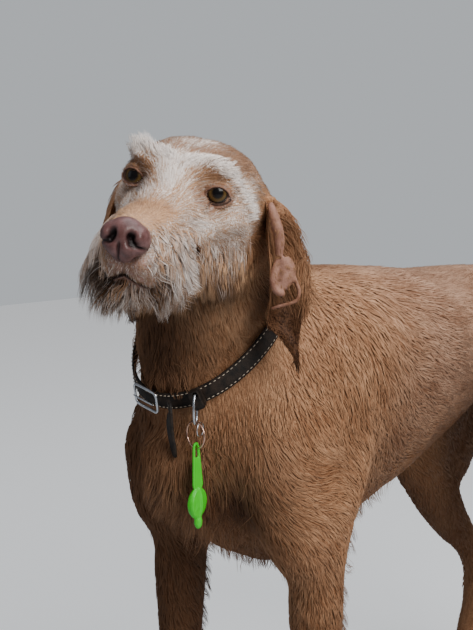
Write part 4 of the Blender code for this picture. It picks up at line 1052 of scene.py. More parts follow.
def tufts(name, roots, path, ups, halves, chance, darker=0.0, flatness=0.5, soft=0.6):
    """One mesh of closed three-sided locks. path and ups are lists of points and normals, root first."""
    steps, number = len(path), roots.number
    rings = []
    for k in range(steps - 1):
        lie_here = path[k + 1] - path[max(k - 1, 0)]
        across = unit(np.cross(lie_here, ups[k]))
        half = halves[k][:, None]
        rings += [path[k] - across * half, path[k] + across * half, path[k] + ups[k] * half * flatness * 2]
    vertices = np.stack(rings + [path[-1]], 1)
    per = vertices.shape[1]
    pattern, starts = [0, 1, 2], [0]
    for k in range(steps - 2):
        for j in range(3):
            n = (j + 1) % 3
            starts.append(len(pattern))
            pattern += [3 * k + j, 3 * k + 3 + j, 3 * k + 3 + n, 3 * k + n]
    last = 3 * (steps - 2)
    for j in range(3):
        starts.append(len(pattern))
        pattern += [last + j, per - 1, last + (j + 1) % 3]
    pattern, starts = np.array(pattern), np.array(starts)
    base = np.arange(number)
    mesh = bpy.data.meshes.new(name)
    mesh.vertices.add(number * per)
    mesh.vertices.foreach_set("co", vertices.astype(np.float32).ravel())
    mesh.loops.add(number * len(pattern))
    mesh.loops.foreach_set("vertex_index", (base[:, None] * per + pattern).astype(np.int32).ravel())
    mesh.polygons.add(number * len(starts))
    mesh.polygons.foreach_set("loop_start", (base[:, None] * len(pattern) + starts).astype(np.int32).ravel())
    mesh.update(calc_edges=True)
    along = np.array([k / (steps - 1) for k in range(steps - 1) for _ in range(3)] + [1.0])
    spread_out = np.array([(j - 1) * PATCH_HALF_WIDTH for _ in range(steps - 1) for j in range(3)] + [0.0])
    patch = np.stack([spread_out, (along - 0.5) * PATCH_LENGTH], 1)
    uv = np.clip(roots.uv()[:, None] + patch, 0.0005, 0.9995)[:, pattern]
    layer = mesh.uv_layers.new(name="OFBake")
    layer.data.foreach_set("uv", uv.astype(np.float32).ravel())

    def every(values):
        return np.repeat(values, per)

    marks = [every(roots.of(m)) for m in (pale, dark_and_painted_shade, grey_and_sheen, pink)]
    marks[1] = marks[1] + every(darker * np.ones(number)) * np.tile(along, number) ** 2
    keep(mesh, "markings", *marks)
    keep(mesh, "details", every(roots.of(tan)))
    keep(mesh, "lock", every(chance), np.tile(along, number))
    mesh.shade_smooth()
    own = vertex_normals(mesh)
    shown = unit((1 - soft) * own + soft * np.repeat(roots.of(normals), per, axis=0))
    mesh.normals_split_custom_set_from_vertices(shown.tolist())
    mesh.materials.append(hair)
    coat = new_piece(name, mesh)
    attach(coat, "root")


hair = hair_material("hair", 0.55, False)


def nearest_of(spots, wanted):
    """The number of the spot that lies nearest to each wanted place."""
    tree = kdtree.KDTree(len(spots))
    for i, spot in enumerate(spots.tolist()):
        tree.insert(spot, i)
    tree.balance()
    return np.array([tree.find(place)[1] for place in wanted.tolist()])


def led(start, group):
    """The number of the neighbour that each tuft gathers to: one tuft in every group leads."""
    leaders = np.arange(0, len(start), group)
    return leaders[nearest_of(start[leaders], start)]


def gathered(start, way, length, group, pull):
    """Turns each tuft's way towards the end of a neighbour that leads its group. Returns ways and leaders."""
    led_by = led(start, group)
    end = start[led_by] + way[led_by] * length[led_by][:, None]
    aim = (start + way * length[:, None]) * (1 - pull) + end * pull - start
    return aim / np.linalg.norm(aim, axis=1)[:, None], led_by


def streaked(chance, start, way, reach):
    """A value for each tuft, spread evenly from 0 to 1 and shared with those in line with it."""
    own = chance.random(len(start))
    total = own.copy()
    for k in (-3, -2, -1, 1, 2, 3):
        total += own[nearest_of(start, start + way * reach * k / 3)]
    return np.argsort(np.argsort(total)) / len(total)


def lying_coat(name, weight, spacing, seed, steps=3, width=0.30, group=10, pull=0.30, shared=0.6, soft=0.6):
    """A piece of coat whose tufts lie along the skin, one to every spacing squared where the weight is 1."""
    roots = Roots(weight, spacing, seed)
    chance = roots.chance
    start, up = roots.of(points), roots.of(normals)
    up /= np.linalg.norm(up, axis=1)[:, None]
    length = roots.of(hair_length) * chance.uniform(0.70, 1.25, roots.number)
    bend = roots.of(wave)
    angle = bend * (ripple(start, 0.055, 5) + 0.8 * ripple(start, 0.020, 6))
    angle = angle + chance.normal(0, 0.10, roots.number)
    way = turned(along_skin(roots.of(lie), up), up, angle)
    streak = streaked(chance, start, way, spacing * 7)
    way, led_by = gathered(start, way, length, group, pull)
    group_chance = chance.random(roots.number)
    tone = shared * streak + (1 - shared) * chance.random(roots.number)
    height = roots.of(stand) * (0.55 + 0.5 * group_chance[led_by] + 0.25 * chance.random(roots.number))
    path, ups, surface = [start - up * 0.0010], [up], start
    for k in range(1, steps):
        t = k / (steps - 1)
        sway = turned(way, up, bend * 1.3 * ripple(start + k * 0.03, 0.016, 7 + k))
        surface, up = nearest_skin(surface + sway * (length / (steps - 1))[:, None])
        way = along_skin(way, up)
        path.append(surface + up * (height * (1 - (1 - t) ** 2))[:, None])
        ups.append(up)
    size = roots.of(spacing * ones) * width * chance.uniform(0.7, 1.3, roots.number)
    halves = [size * (0.75 if k == 0 else 1.0 - 0.45 * (k - 1)) for k in range(steps - 1)]
    tufts(name, roots, path, ups, halves, tone, soft=soft)


# The strap presses the hair flat, and its rings of four points say where it runs.
STRAP_RINGS = 32
strap = np.unique(np.round(positions(frame["nodes"]["collar"].data), 5), axis=0)
strap_middle = strap.mean(0)
strap_up = np.linalg.svd(strap - strap_middle)[2][2]
strap_up = strap_up * np.sign(strap_up[2])
strap_side = np.cross(strap_up, [0.0, 1.0, 0.0])
strap_side /= np.linalg.norm(strap_side)
strap_front = np.cross(strap_up, strap_side)


def round_strap(spots):
    """Each spot's turn round the strap, its way out from the middle, its reach that way, and its height."""
    away = spots - strap_middle
    height = away @ strap_up
    flat = away - height[:, None] * strap_up
    reach = np.linalg.norm(flat, axis=1)
    turn = np.arctan2(away @ strap_side, away @ strap_front)
    return turn, flat / np.maximum(reach, 1e-9)[:, None], reach, height


turn, _, reach, height = round_strap(strap)
by_turn = np.argsort(turn).reshape(STRAP_RINGS, 4)
strap_turns = turn[by_turn].mean(1)
strap_reach = reach[by_turn].max(1)


def lifted_over_strap(spots):
    """How far hair that falls over the strap must stand out there."""
    turn, way_out, reach, height = round_strap(spots)
    wanted = np.interp(turn, strap_turns, strap_reach, period=2 * math.pi) + 0.0008
    wanted -= 0.55 * np.maximum(height - 0.009, 0)
    return way_out * (np.clip(wanted - reach, 0, 0.0045) * ease(0.020, 0.010, height))[:, None]


above_strap = (points - strap_middle) @ strap_up
by_strap = (np.linalg.norm(points - strap_middle, axis=1) < 0.13) * body
near_side = 1.0 * (x > -0.020)
clear_of_strap = 1 - 0.6 * ease(0.008, 0.004, np.abs(above_strap)) * by_strap
stand = stand * (1 - 0.75 * ease(0.026, 0.016, np.abs(above_strap)) * by_strap)
hair_length = hair_length * (1 - 0.45 * ease(0.026, 0.012, above_strap) * by_strap)
lying_coat("coat_neck", neck * clear_of_strap, 0.0018, 11, width=0.22)
lying_coat("coat_chest_left", chest * near_side * clear_of_strap, 0.0025, 12, width=0.19)
lying_coat("coat_chest_right", chest * (1 - near_side) * clear_of_strap, 0.0029, 13, width=0.22)
lying_coat("coat_back", trunk, 0.0021, 14, steps=2, width=0.27, shared=0.75, soft=0.35)
lying_coat("coat_tail", tail, 0.0026, 24)
lying_coat("coat_hindquarters", thigh + shank, 0.0042, 15, width=0.25)
lying_coat("coat_forelegs", foreleg, 0.0019, 16, width=0.22)
lying_coat("coat_paws", paw, 0.0027, 17, steps=2)
near_lids = spread(np.clip(lid_skin, 0, 1), pairs, 6)
hair_length = hair_length * (1 - 0.65 * near_lids)
below_mouth = -(u + 0.0662 + 0.52 * from_middle)
on_lips = ease(0.050, 0.060, f) * ease(0.025, 0.018, from_middle) * ease(-0.046, -0.054, u)
on_lips = on_lips * ease(0.003, 0.0, below_mouth)
hair_length = hair_length * (1 - 0.55 * on_lips - 0.30 * bridge - 0.25 * crown)
bare = np.clip(ease(0.1, 0.4, lid_edge) + ease(0.3, 0.6, mouth), 0, 1)
by_nose = np.linalg.norm((q - (0.088, 0, -0.042)) / (0.016, 0.021, 0.017), axis=1)
bare = np.maximum(bare, ease(1.0, 0.85, by_nose) * head)
lying_coat("coat_head", head * (1 - bare), 0.00135, 18, steps=2, width=0.32, shared=0.80, soft=0.35)


# ------------------------------------------------------------------------------------------------ long hair
# Moustache, beard, brows and cheeks. Long hair leaves the skin in its own way, falls with its weight, and its
# tips gather into locks.
DOWN = np.array([0, 0, -1.0])


def hanging_coat(name, weight, spacing, seed, way, length, fall=0.5, curl=0.25, steps=5, width=0.00042,
                 group=12, pull=0.6, lift=0.35, darker=0.0, clear=0.0012, soft=0.45, follow=True,
                 over_strap=False):
    """A piece of coat whose tufts leave the skin one way, bend, and stay clear of what lies below them."""
    roots = Roots(weight, spacing, seed)
    chance, number = roots.chance, roots.number
    start, up = roots.of(points), roots.of(normals)
    up /= np.linalg.norm(up, axis=1)[:, None]
    own_length = roots.of(length * ones) * chance.uniform(0.65, 1.15, number)
    way = roots.of(np.broadcast_to(way, (len(points), 3)))
    way = unit(unit(way) + up * lift + chance.normal(0, 0.10, (number, 3)))
    side_way = unit(np.cross(way, up))
    path, spot = [start - up * 0.0010], start
    fall = roots.of(fall * ones)[:, None]
    for k in range(1, steps):
        t = k / (steps - 1)
        bend = ripple(start + t * 0.02, 0.030, seed) + 0.6 * ripple(start - t * 0.05, 0.012, seed + 1)
        bend = curl * bend
        step = way * (1 - fall * t) + DOWN * fall * t * 1.2 + side_way * bend[:, None]
        spot = spot + unit(step) * (own_length / (steps - 1))[:, None]
        path.append(spot)
    led_by = led(start, group)
    group_chance = chance.random(number)
    ups = [up]
    for k in range(1, steps):
        t = k / (steps - 1)
        hold = pull * t**0.8
        path[k] = path[k] * (1 - hold) + path[k][led_by] * hold
        if follow:
            near, way_out = nearest_skin(path[k])
            inside = ((path[k] - near) * way_out).sum(1)
            away = np.linalg.norm(path[k] - near, axis=1)
            height = np.where(inside < 0, -away, away)
            push = np.clip(clear * (0.6 + 0.8 * group_chance[led_by]) - height, 0, 0.02)
            path[k] = path[k] + way_out * push[:, None]
            ups.append(way_out)
        else:
            ups.append(up)
        if over_strap:
            path[k] = path[k] + lifted_over_strap(path[k]) * (0.8 + 0.6 * group_chance[led_by])[:, None]
    tone = 0.45 * group_chance[led_by] + 0.55 * chance.random(number)
    taper = [1.0 - 0.55 * k / (steps - 1) for k in range(steps - 1)]
    halves = [np.full(number, width) * chance.uniform(0.7, 1.3, number) * share for share in taper]
    dark_tip = roots.of(darker * ones) * (group_chance[led_by] < 0.55)
    tufts(name, roots, path, ups, halves, tone, darker=dark_tip, soft=soft)


def head_way(a, b, c):
    """A direction in the head's axes, its second number pointing away from the middle line."""
    return stack(a, b * side, c) @ HEAD_AXES


face = head * (1 - bare)
moustache = face * ease(0.012, 0.040, f) * ease(0.006, 0.015, np.abs(l)) * ease(-0.026, -0.040, u)
moustache = moustache * (1 - on_lips)
moustache_length = 0.008 + 0.020 * ease(-0.034, -0.058, u) + 0.008 * (l < 0) * ease(-0.030, -0.050, u)
moustache_way = np.where(side[:, None] > 0, head_way(-0.80, 0.40, -0.55), head_way(0.05, 0.75, -0.75))
moustache_fall = 0.55 + 0.25 * (l < 0)
hanging_coat("coat_moustache", moustache, 0.00122, 31, moustache_way, moustache_length, fall=moustache_fall,
             curl=0.50, darker=0.35, width=0.00028, lift=0.20, group=16, pull=0.66)
on_jaw = ease(-0.060, -0.070, u) * ease(-0.010, 0.012, f)
on_chin = ease(0.0, 0.002, below_mouth) * ease(0.03, 0.05, f)
beard = face * np.maximum(on_jaw, on_chin)
beard = beard * (1 - on_lips)
beard_way = np.where(side[:, None] > 0, head_way(-0.15, 0.30, -0.9), head_way(0.15, 0.60, -0.85))
hanging_coat("coat_beard", beard, 0.00130, 32, beard_way, 0.021 + 0.006 * (l < 0), fall=0.60, curl=0.55,
             darker=0.65, width=0.00030, lift=0.22, group=16, pull=0.62)
BROW_TUFT = [(0.004, -0.010, 0.023), (0.001, -0.022, 0.022), (-0.003, -0.033, 0.020)]
brow_place = near_line(BROW_TUFT, 0.0085) * head
brow_length = 0.0045 + 0.0060 * ease(-0.012, -0.026, l)
hanging_coat("coat_brow_right", brow_place, 0.0010, 33, head_way(-0.10, 0.30, 0.9), brow_length, fall=0.05,
             curl=0.55, steps=4, width=0.00024, lift=0.30, group=9, pull=0.35)
hanging_coat("coat_brow_left", left_brow * head, 0.0011, 34, head_way(-0.85, 0.60, 0.35), 0.0085, fall=0.15,
             curl=0.2, steps=4, width=0.00024, lift=0.15, pull=0.45)
cheek_fall = face * ease(-0.026, -0.050, u) * ease(0.030, 0.004, f) * ease(-0.080, -0.060, f)
hanging_coat("coat_cheeks", cheek_fall, 0.0018, 35, head_way(-0.50, 0.10, -0.90), 0.0165, fall=0.25,
             curl=0.15, steps=4, width=0.00028, lift=0.08, clear=0.0016, darker=0.8)

# ------------------------------------------------------------------------------------------------ ear hair
# Wavy hair grows down the outside of the ear and off its rear edge, and short hair within. The lobe's tip is
# a dark point of hair.
outside = is_flap * (facing < 0.15) * ease(0.002, -0.004, u)
down_ear = along_skin(stack(-0.35, 0.40, -1.0), normals)
hanging_coat("coat_ear_outside", outside, 0.0021, 41, down_ear, 0.014, fall=0.0, curl=0.25, steps=4,
             width=0.00040, lift=0.10, follow=False, soft=0.4)
rear = is_flap * ease(0.55, 0.80, flap_share) * ease(-0.104, -0.080, u) * ease(0.000, -0.006, u) * (l > 0)
hanging_coat("coat_ear_fringe", rear, 0.00120, 42, down_ear + stack(0.12, 0.12, 0.0), 0.024, fall=0.20,
             curl=0.40, width=0.00032, lift=0.20, group=12, pull=0.50, follow=False, soft=0.3)
inner = is_flap * (facing >= 0.15) * ease(0.70, 0.50, flap_share) * ease(-0.074, -0.084, u) * (l > 0)
hanging_coat("coat_ear_lobe", inner, 0.0014, 43, down_ear, 0.007, fall=0.0, curl=0.10, steps=3,
             width=0.00024, lift=0.02, follow=False, soft=0.5)
hanging_coat("coat_ear_tip", is_flap * ease(-0.100, -0.112, u), 0.0011, 44, down_ear, 0.014, fall=0.4,
             curl=0.15, steps=4, width=0.00034, lift=0.0, follow=False, soft=0.2)
folds = is_fold * ease(0.092, 0.088, l)
hanging_coat("coat_ear_folds", folds, 0.0014, 45, down_ear, 0.0045, fall=0.0, curl=0.15, steps=3,
             width=0.00022, lift=0.03, follow=False, soft=0.5)

# ------------------------------------------------------------------------------------------------ feathering
# The body's longer hair grows on the breastbone, the keel and the backs of the forelegs, and a thin ruff lies
# over the collar. A dark tuft grows from the mole on the left cheek.
breast = mound(points, (-0.004, -0.320, 0.415), (0.030, 0.040, 0.045)) * chest
hanging_coat("coat_breast", breast, 0.0022, 51, stack(-0.15, -0.20, -1.0), 0.030, fall=0.4, curl=0.35,
             width=0.00036, lift=0.10, clear=0.0030)
keel = chest * ease(-0.45, -0.85, normals[:, 2]) * ease(-0.33, -0.28, y) * ease(-0.04, -0.10, y)
hanging_coat("coat_keel", keel, 0.0036, 52, stack(0.0, 0.35, -1.0), 0.017, fall=0.2, curl=0.35, steps=4,
             width=0.00026, lift=0.10, clear=0.0010)
behind = foreleg * ease(0.45, 0.85, normals[:, 1])
behind = behind + 0.5 * chest * ease(0.45, 0.85, normals[:, 1]) * ease(0.46, 0.40, z) * ease(-0.10, -0.16, y)
hanging_coat("coat_leg_feather", behind, 0.0024, 53, stack(0.0, 0.55, -0.85), 0.022, fall=0.35, curl=0.45,
             width=0.00030, lift=0.18, clear=0.0010)
ruff = np.clip(neck + chest, 0, 1) * ease(0.009, 0.012, above_strap) * ease(0.026, 0.018, above_strap)
ruff = ruff * by_strap
in_throat = ease(0.040, 0.010, np.abs(x + 0.005)) * ease(-0.28, -0.30, y)
ruff = ruff * (0.35 + 0.65 * in_throat)
down_strap = np.broadcast_to(-strap_up, points.shape)
hanging_coat("coat_ruff", ruff, 0.0021, 54, down_strap, 0.008 + 0.006 * in_throat, fall=0.10,
             curl=0.30, steps=4, width=0.00030, lift=0.25, clear=0.0020, over_strap=True)
mole_tuft = ease(0.0028, 0.0018, from_mole) * head
hanging_coat("coat_mole", mole_tuft, 0.0009, 61, head_way(-0.20, 0.55, -0.80), 0.0045, fall=0.3, curl=0.2,
             steps=4, width=0.00040, lift=0.9, clear=0.0040)

# ------------------------------------------------------------------------------------------------ collar
# A strap of soft dark leather with rounded edges, lapped round the neck through its buckle. It follows the
# solid's rings of four corners, run through smoothly.
quads = []
for row in by_turn:
    level = height[row]
    top, low = row[np.argsort(-level)[:2]], row[np.argsort(-level)[2:]]
    outer_top, inner_top = (top if reach[top[0]] > reach[top[1]] else top[::-1])
    outer_low, inner_low = (low if reach[low[0]] > reach[low[1]] else low[::-1])
    quads.append(strap[[outer_top, outer_low, inner_low, inner_top]])
quads = np.array(quads)


def rounded(piece):
    """One level of subdivision, applied, to round a piece's edges."""
    smooth = piece.modifiers.new("round", "SUBSURF")
    smooth.levels = 1
    smooth.render_levels = 1
    applied(piece)
    piece.data.shade_smooth()


def round_run(values, count):
    """A closed run of points, spaced evenly and smoothly."""
    total = len(values)
    at = np.arange(count) * total / count
    base = at.astype(int)
    t = (at - base)[:, None, None]
    a, b, c, d = (values[(base + k) % total] for k in (-1, 0, 1, 2))
    curve = 2 * b + (c - a) * t + (2 * a - 5 * b + 4 * c - d) * t**2
    return 0.5 * (curve + (3 * b - a - 3 * c + d) * t**3)


strap_run = round_run(quads, 160)
top_edge = [(0.06, 0.0), (0.0, 0.30), (0.0, 0.70), (0.06, 1.0)]
section = top_edge + [(0.94, 1.0), (1.0, 0.70), (1.0, 0.30), (0.94, 0.0)]
bm = bmesh.new()
rings = []
for outer_top, outer_low, inner_low, inner_top in strap_run:
    ring = []
    for across, depth_in in section:
        outer = outer_top + (outer_low - outer_top) * across
        inner = inner_top + (inner_low - inner_top) * across
        ring.append(bm.verts.new(outer + (inner - outer) * depth_in))
    rings.append(ring)
for i, ring in enumerate(rings):
    following = rings[(i + 1) % len(rings)]
    for j in range(len(section)):
        bm.faces.new((ring[j], following[j], following[(j + 1) % 8], ring[(j + 1) % 8]))
bmesh.ops.recalc_face_normals(bm, faces=bm.faces)
mesh = bpy.data.meshes.new("collar_strap")
bm.to_mesh(mesh)
bm.free()
collar = new_piece("collar_strap", mesh)
rounded(collar)

leather, tree, shader, place = finish("collar_leather", 0.62, 0.3)
grain = pattern(tree, "Voronoi", place, 900.0)
wear = pattern(tree, "Noise", place, 130.0, 6.0)
worn = number_node(tree, "MULTIPLY_ADD", wear["Fac"], 3.2, -1.25, clamp=True)
leather_colour = colour_node(tree, "MIX", worn, (0.006, 0.004, 0.003, 1), (0.034, 0.021, 0.014, 1))
tree.links.new(leather_colour, shader.inputs["Base Color"])
roughened(tree, shader, grain["Distance"], 0.6, 0.0003)
collar.data.materials.append(leather)
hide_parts("collar")
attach(collar, "root")

# ------------------------------------------------------------------------------------------------ thread
# Short pale stitches of waxed thread, sewn through the strap along both edges of its outer face.
STITCH_LENGTH = 0.0030
STITCH_EVERY = 0.0044
STITCH_RADII = (0.0015, 0.00042, 0.00042, 1)
fine = round_run(quads, 1280)
outer_top, outer_low, inner_top = fine[:, 0], fine[:, 1], fine[:, 3]
bm = bmesh.new()
for share_across in (0.13, 0.87):
    line = outer_top + (outer_low - outer_top) * share_across
    out = unit(outer_top - inner_top)
    going = np.roll(line, -1, axis=0) - line
    travelled = np.concatenate([[0], np.cumsum(np.linalg.norm(going, axis=1))])
    for start in np.arange(0, travelled[-1] - 0.004, STITCH_EVERY):
        a, b = (np.searchsorted(travelled, start + d) % len(line) for d in (0.0, STITCH_LENGTH))
        lie = Vector(line[b] - line[a])
        matrix = Matrix.Translation(Vector((line[a] + line[b]) / 2 + out[a] * 0.00012))
        matrix = matrix @ lie.to_track_quat("X", "Z").to_matrix().to_4x4() @ Matrix.Diagonal(STITCH_RADII)
        bmesh.ops.create_icosphere(bm, subdivisions=1, radius=1.0, matrix=matrix)
mesh = bpy.data.meshes.new("collar_thread")
bm.to_mesh(mesh)
bm.free()
mesh.shade_smooth()
thread_finish, tree, shader, place = finish("thread", 0.8)
twist = pattern(tree, "Noise", place, 800.0)
shade = colour_node(tree, "MIX", twist["Fac"], (0.36, 0.28, 0.20, 1), (0.68, 0.58, 0.46, 1))
tree.links.new(shade, shader.inputs["Base Color"])
mesh.materials.append(thread_finish)
thread = new_piece("collar_thread", mesh)
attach(thread, "root")


# ------------------------------------------------------------------------------------------------ loose parts
# The strap's loose end and its keeper are cut from the same leather. The tag is a soft green moulded rubber
# that hangs from the key ring. All three have soft edges.
def copied(name, node):
    """A piece of its own with the node's shape, its doubled points merged and none of its materials."""
    mesh = bpy.data.meshes.new(name)
    whole = joined_copy([node], 0.0)
    whole.to_mesh(mesh)
    whole.free()
    mesh.materials.clear()
    return new_piece(name, mesh)


def softened(name, node, grain, rounds, material):
    """A copy of the node with its edges evened out."""
    piece = copied(name, node)
    remeshed(piece, grain)
    set_positions(piece.data, spread(positions(piece.data), edge_pairs(piece.data), rounds, 0.6))
    piece.data.shade_smooth()
    piece.data.materials.clear()
    piece.data.materials.append(material)
    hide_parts(node)
    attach(piece, "root")


softened("strap_tongue", "strap_end", 0.0005, 3, leather)
softened("strap_keeper", "keeper", 0.0005, 2, leather)
rubber, tree, shader, place = finish("tag_green", 0.42)
cloudy = pattern(tree, "Noise", place, 60.0)
green = colour_node(tree, "MIX", cloudy["Fac"], (0.020, 0.560, 0.004, 1), (0.045, 0.720, 0.012, 1))
tree.links.new(green, shader.inputs["Base Color"])
softened("tag_silicone", "tag", 0.00045, 4, rubber)


# ------------------------------------------------------------------------------------------------ metal
# A bright steel buckle, its prong and two rings, bent from plated wire, and a copper-toned key ring. All are
# lightly scratched.
def metal_material(name, first, second, roughness):
    made, tree, shader, place = finish(name, roughness)
    marks = pattern(tree, "Noise", place, 220.0, 4.0)
    tree.links.new(colour_node(tree, "MIX", marks["Fac"], first, second), shader.inputs["Base Color"])
    scratched = number_node(tree, "MULTIPLY_ADD", marks["Fac"], 0.18, roughness)
    tree.links.new(scratched, shader.inputs["Roughness"])
    shader.inputs["Metallic"].default_value = 1.0
    return made


steel = metal_material("steel", (0.50, 0.53, 0.58, 1), (0.72, 0.74, 0.78, 1), 0.16)
copper = metal_material("copper", (0.62, 0.36, 0.27, 1), (0.80, 0.52, 0.40, 1), 0.18)
for node in ("buckle_frame", "buckle_prong", "lead_ring", "small_ring", "key_ring"):
    metal = copper if node == "key_ring" else steel
    ring = copied(node + "_smooth", node)
    rounded(ring)
    ring.data.materials.clear()
    ring.data.materials.append(metal)
    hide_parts(node)
    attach(ring, "root")

# ------------------------------------------------------------------------------------------------ claws
# Sixteen claws of brown horn, each grown from its own toe. The horn is wider than the solid and reaches back
# into the toe, so that it doesn't stand free of the paw.
CLAW_WIDER = 1.30
CLAW_BACK = 0.0075
horn = metal_material("horn", (0.060, 0.038, 0.028, 1), (0.170, 0.110, 0.080, 1), 0.35)
horn.node_tree.nodes["Principled BSDF"].inputs["Metallic"].default_value = 0.0
for node in [name for name in frame["nodes"] if name.startswith("claw_")]:
    claw = copied(node + "_horn", node)
    spots = positions(claw.data)
    low, high = spots.min(0), spots.max(0)
    to_root = (spots[:, 1] - low[1]) / (high[1] - low[1])
    slope = np.polyfit(to_root, spots[:, 2], 1)
    axis_height = np.polyval(slope, to_root)
    middle_x = (low[0] + high[0]) / 2
    spots[:, 0] = middle_x + (spots[:, 0] - middle_x) * CLAW_WIDER
    spots[:, 2] = axis_height + (spots[:, 2] - axis_height) * CLAW_WIDER
    spots[:, 1] += CLAW_BACK * to_root
    set_positions(claw.data, spots)
    rounded(claw)
    claw.data.materials.clear()
    claw.data.materials.append(horn)
    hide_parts(node)
    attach(claw, "root")

# ------------------------------------------------------------------------------------------------ eyes
# Each eye is a wet ball with a raised cornea, an olive-amber iris and a dark pupil, set deep behind its lids.
# The way each looks is in the head's axes.
GAZE = {"eye_left": (0.955, 0.292, 0.000), "eye_right": (0.985, -0.130, 0.030)}


def iris_material():
    made, tree, shader, _ = finish("eye", 0.25, 0.1)
    place = tree.nodes.new("ShaderNodeUVMap")
    place.uv_map = "iris"
    shift = tree.nodes.new("ShaderNodeVectorMath")
    shift.operation = "SUBTRACT"
    shift.inputs[1].default_value = (0.5, 0.5, 0.0)
    tree.links.new(place.outputs["UV"], shift.inputs[0])
    reach = tree.nodes.new("ShaderNodeVectorMath")
    reach.operation = "LENGTH"
    tree.links.new(shift.outputs[0], reach.inputs[0])
    ray = tree.nodes.new("ShaderNodeVectorMath")
    ray.operation = "NORMALIZE"
    tree.links.new(shift.outputs[0], ray.inputs[0])
    fibres = pattern(tree, "Noise", ray.outputs[0], 9.0, 3.0)
    wander = number_node(tree, "MULTIPLY_ADD", fibres["Fac"], 0.030, reach.outputs["Value"])
    ramp = tree.nodes.new("ShaderNodeValToRGB")
    stops = [
        (0.000, (0.004, 0.004, 0.005)),
        (0.110, (0.004, 0.003, 0.003)),
        (0.126, (0.030, 0.017, 0.006)),
        (0.165, (0.120, 0.068, 0.018)),
        (0.200, (0.095, 0.058, 0.018)),
        (0.222, (0.010, 0.006, 0.004)),
        (0.262, (0.045, 0.028, 0.022)),
        (0.330, (0.160, 0.110, 0.095)),
    ]
    while len(ramp.color_ramp.elements) < len(stops):
        ramp.color_ramp.elements.new(0.5)
    for element, (position, colour) in zip(ramp.color_ramp.elements, stops):
        element.position = position
        element.color = (*colour, 1.0)
    tree.links.new(wander, ramp.inputs["Fac"])
    tree.links.new(ramp.outputs["Color"], shader.inputs["Base Color"])
    shader.inputs["Coat Weight"].default_value = 0.55
    shader.inputs["Coat Roughness"].default_value = 0.010
    shader.inputs["Coat IOR"].default_value = 1.40
    return made


eye_finish = iris_material()
for name, gaze in GAZE.items():
    bm = bmesh.new()
    bmesh.ops.create_uvsphere(bm, u_segments=64, v_segments=48, radius=EYE_RADIUS)
    for vert in bm.verts:
        angle = vert.co.angle(Vector((0, 0, 1)))
        vert.co *= 1 + 0.075 * max(0.0, math.cos(min(angle / math.radians(48), 1.0) * math.pi / 2)) ** 1.2
    uv = bm.loops.layers.uv.new("iris")
    for face in bm.faces:
        face.smooth = True
        for loop in face.loops:
            angle = loop.vert.co.angle(Vector((0, 0, 1)))
            across = Vector((loop.vert.co.x, loop.vert.co.y)).normalized() if angle > 1e-4 else Vector((0, 0))
            loop[uv].uv = Vector((0.5, 0.5)) + across * angle / math.pi * 0.98
    looks = Vector(from_head(gaze) - HEAD_AT).normalized()
    place = Matrix.Translation(Vector(middle_of(name))) @ looks.to_track_quat("Z", "Y").to_matrix().to_4x4()
    bmesh.ops.transform(bm, matrix=place, verts=bm.verts)
    mesh = bpy.data.meshes.new(name + "_ball")
    bm.to_mesh(mesh)
    bm.free()
    ball = new_piece(name + "_ball", mesh)
    mesh.materials.append(eye_finish)
    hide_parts(name)
    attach(ball, "root")

# ------------------------------------------------------------------------------------------------ nose
# The nose leather is a moist pebbled pad, run together from rounded lobes, with comma nostrils that end in
# side slits, raised wings and a groove down the middle.
bm = bmesh.new()


def add_ball(bm, middle, radii):
    matrix = Matrix.Translation(Vector(from_head(middle))) @ Matrix(HEAD_AXES).transposed().to_4x4()
    matrix = matrix @ Matrix.Diagonal((*radii, 1.0))
    bmesh.ops.create_uvsphere(bm, u_segments=24, v_segments=16, radius=1.0, matrix=matrix)


add_ball(bm, (0.0885, 0, -0.0395), (0.0132, 0.0138, 0.0125))
for s in (1, -1):
    add_ball(bm, (0.0870, s * 0.0076, -0.0415), (0.0128, 0.0094, 0.0110))
    add_ball(bm, (0.0900, s * 0.0045, -0.0465), (0.0112, 0.0075, 0.0080))
add_ball(bm, (0.0868, 0, -0.0505), (0.0112, 0.0082, 0.0078))
nose = fused("nose_leather", bm, 0.0007, 4)
n = to_head(positions(nose.data))
out = vertex_normals(nose.data) @ HEAD_AXES.T
sink = np.zeros(len(n))
for s in (1, -1):
    hole = mound(n, (0.1010, s * 0.0068 + 0.0010, -0.0395), (0.0090, 0.0026, 0.0034))
    turn = mound(n, (0.0990, s * 0.0092 + 0.0010, -0.0438), (0.0090, 0.0030, 0.0020))
    slit = mound(n, (0.0950, s * 0.0130 + 0.0005, -0.0460), (0.0110, 0.0040, 0.0011))
    sink += 0.0060 * hole + 0.0036 * turn + 0.0026 * slit
    wing = mound(n, (0.0950, s * 0.0118, -0.0385), (0.0100, 0.0040, 0.0050))
    sink -= 0.0012 * wing
middle_groove = np.exp(-((n[:, 1] / 0.0009) ** 2)) * ease(-0.042, -0.048, n[:, 2])
sink += 0.0016 * middle_groove * ease(0.080, 0.090, n[:, 0])
n -= out * sink[:, None] * (out[:, 0:1] > -0.2)
set_positions(nose.data, from_head(n))
nose.data.shade_smooth()
tone = nose.data.attributes.new("hollow", "FLOAT", "POINT")
tone.data.foreach_set("value", np.clip(sink / 0.0022, 0, 1))

pad, tree, shader, place = finish("nose_leather", 0.40, 0.3)
pebble = pattern(tree, "Voronoi", place, 1100.0)
patches = pattern(tree, "Noise", place, 170.0, 5.0)
ramp = tree.nodes.new("ShaderNodeValToRGB")
ramp.color_ramp.elements[0].position = 0.30
ramp.color_ramp.elements[0].color = (0.085, 0.030, 0.026, 1)
ramp.color_ramp.elements[1].position = 0.72
ramp.color_ramp.elements[1].color = (0.200, 0.098, 0.094, 1)
tree.links.new(patches["Fac"], ramp.inputs["Fac"])
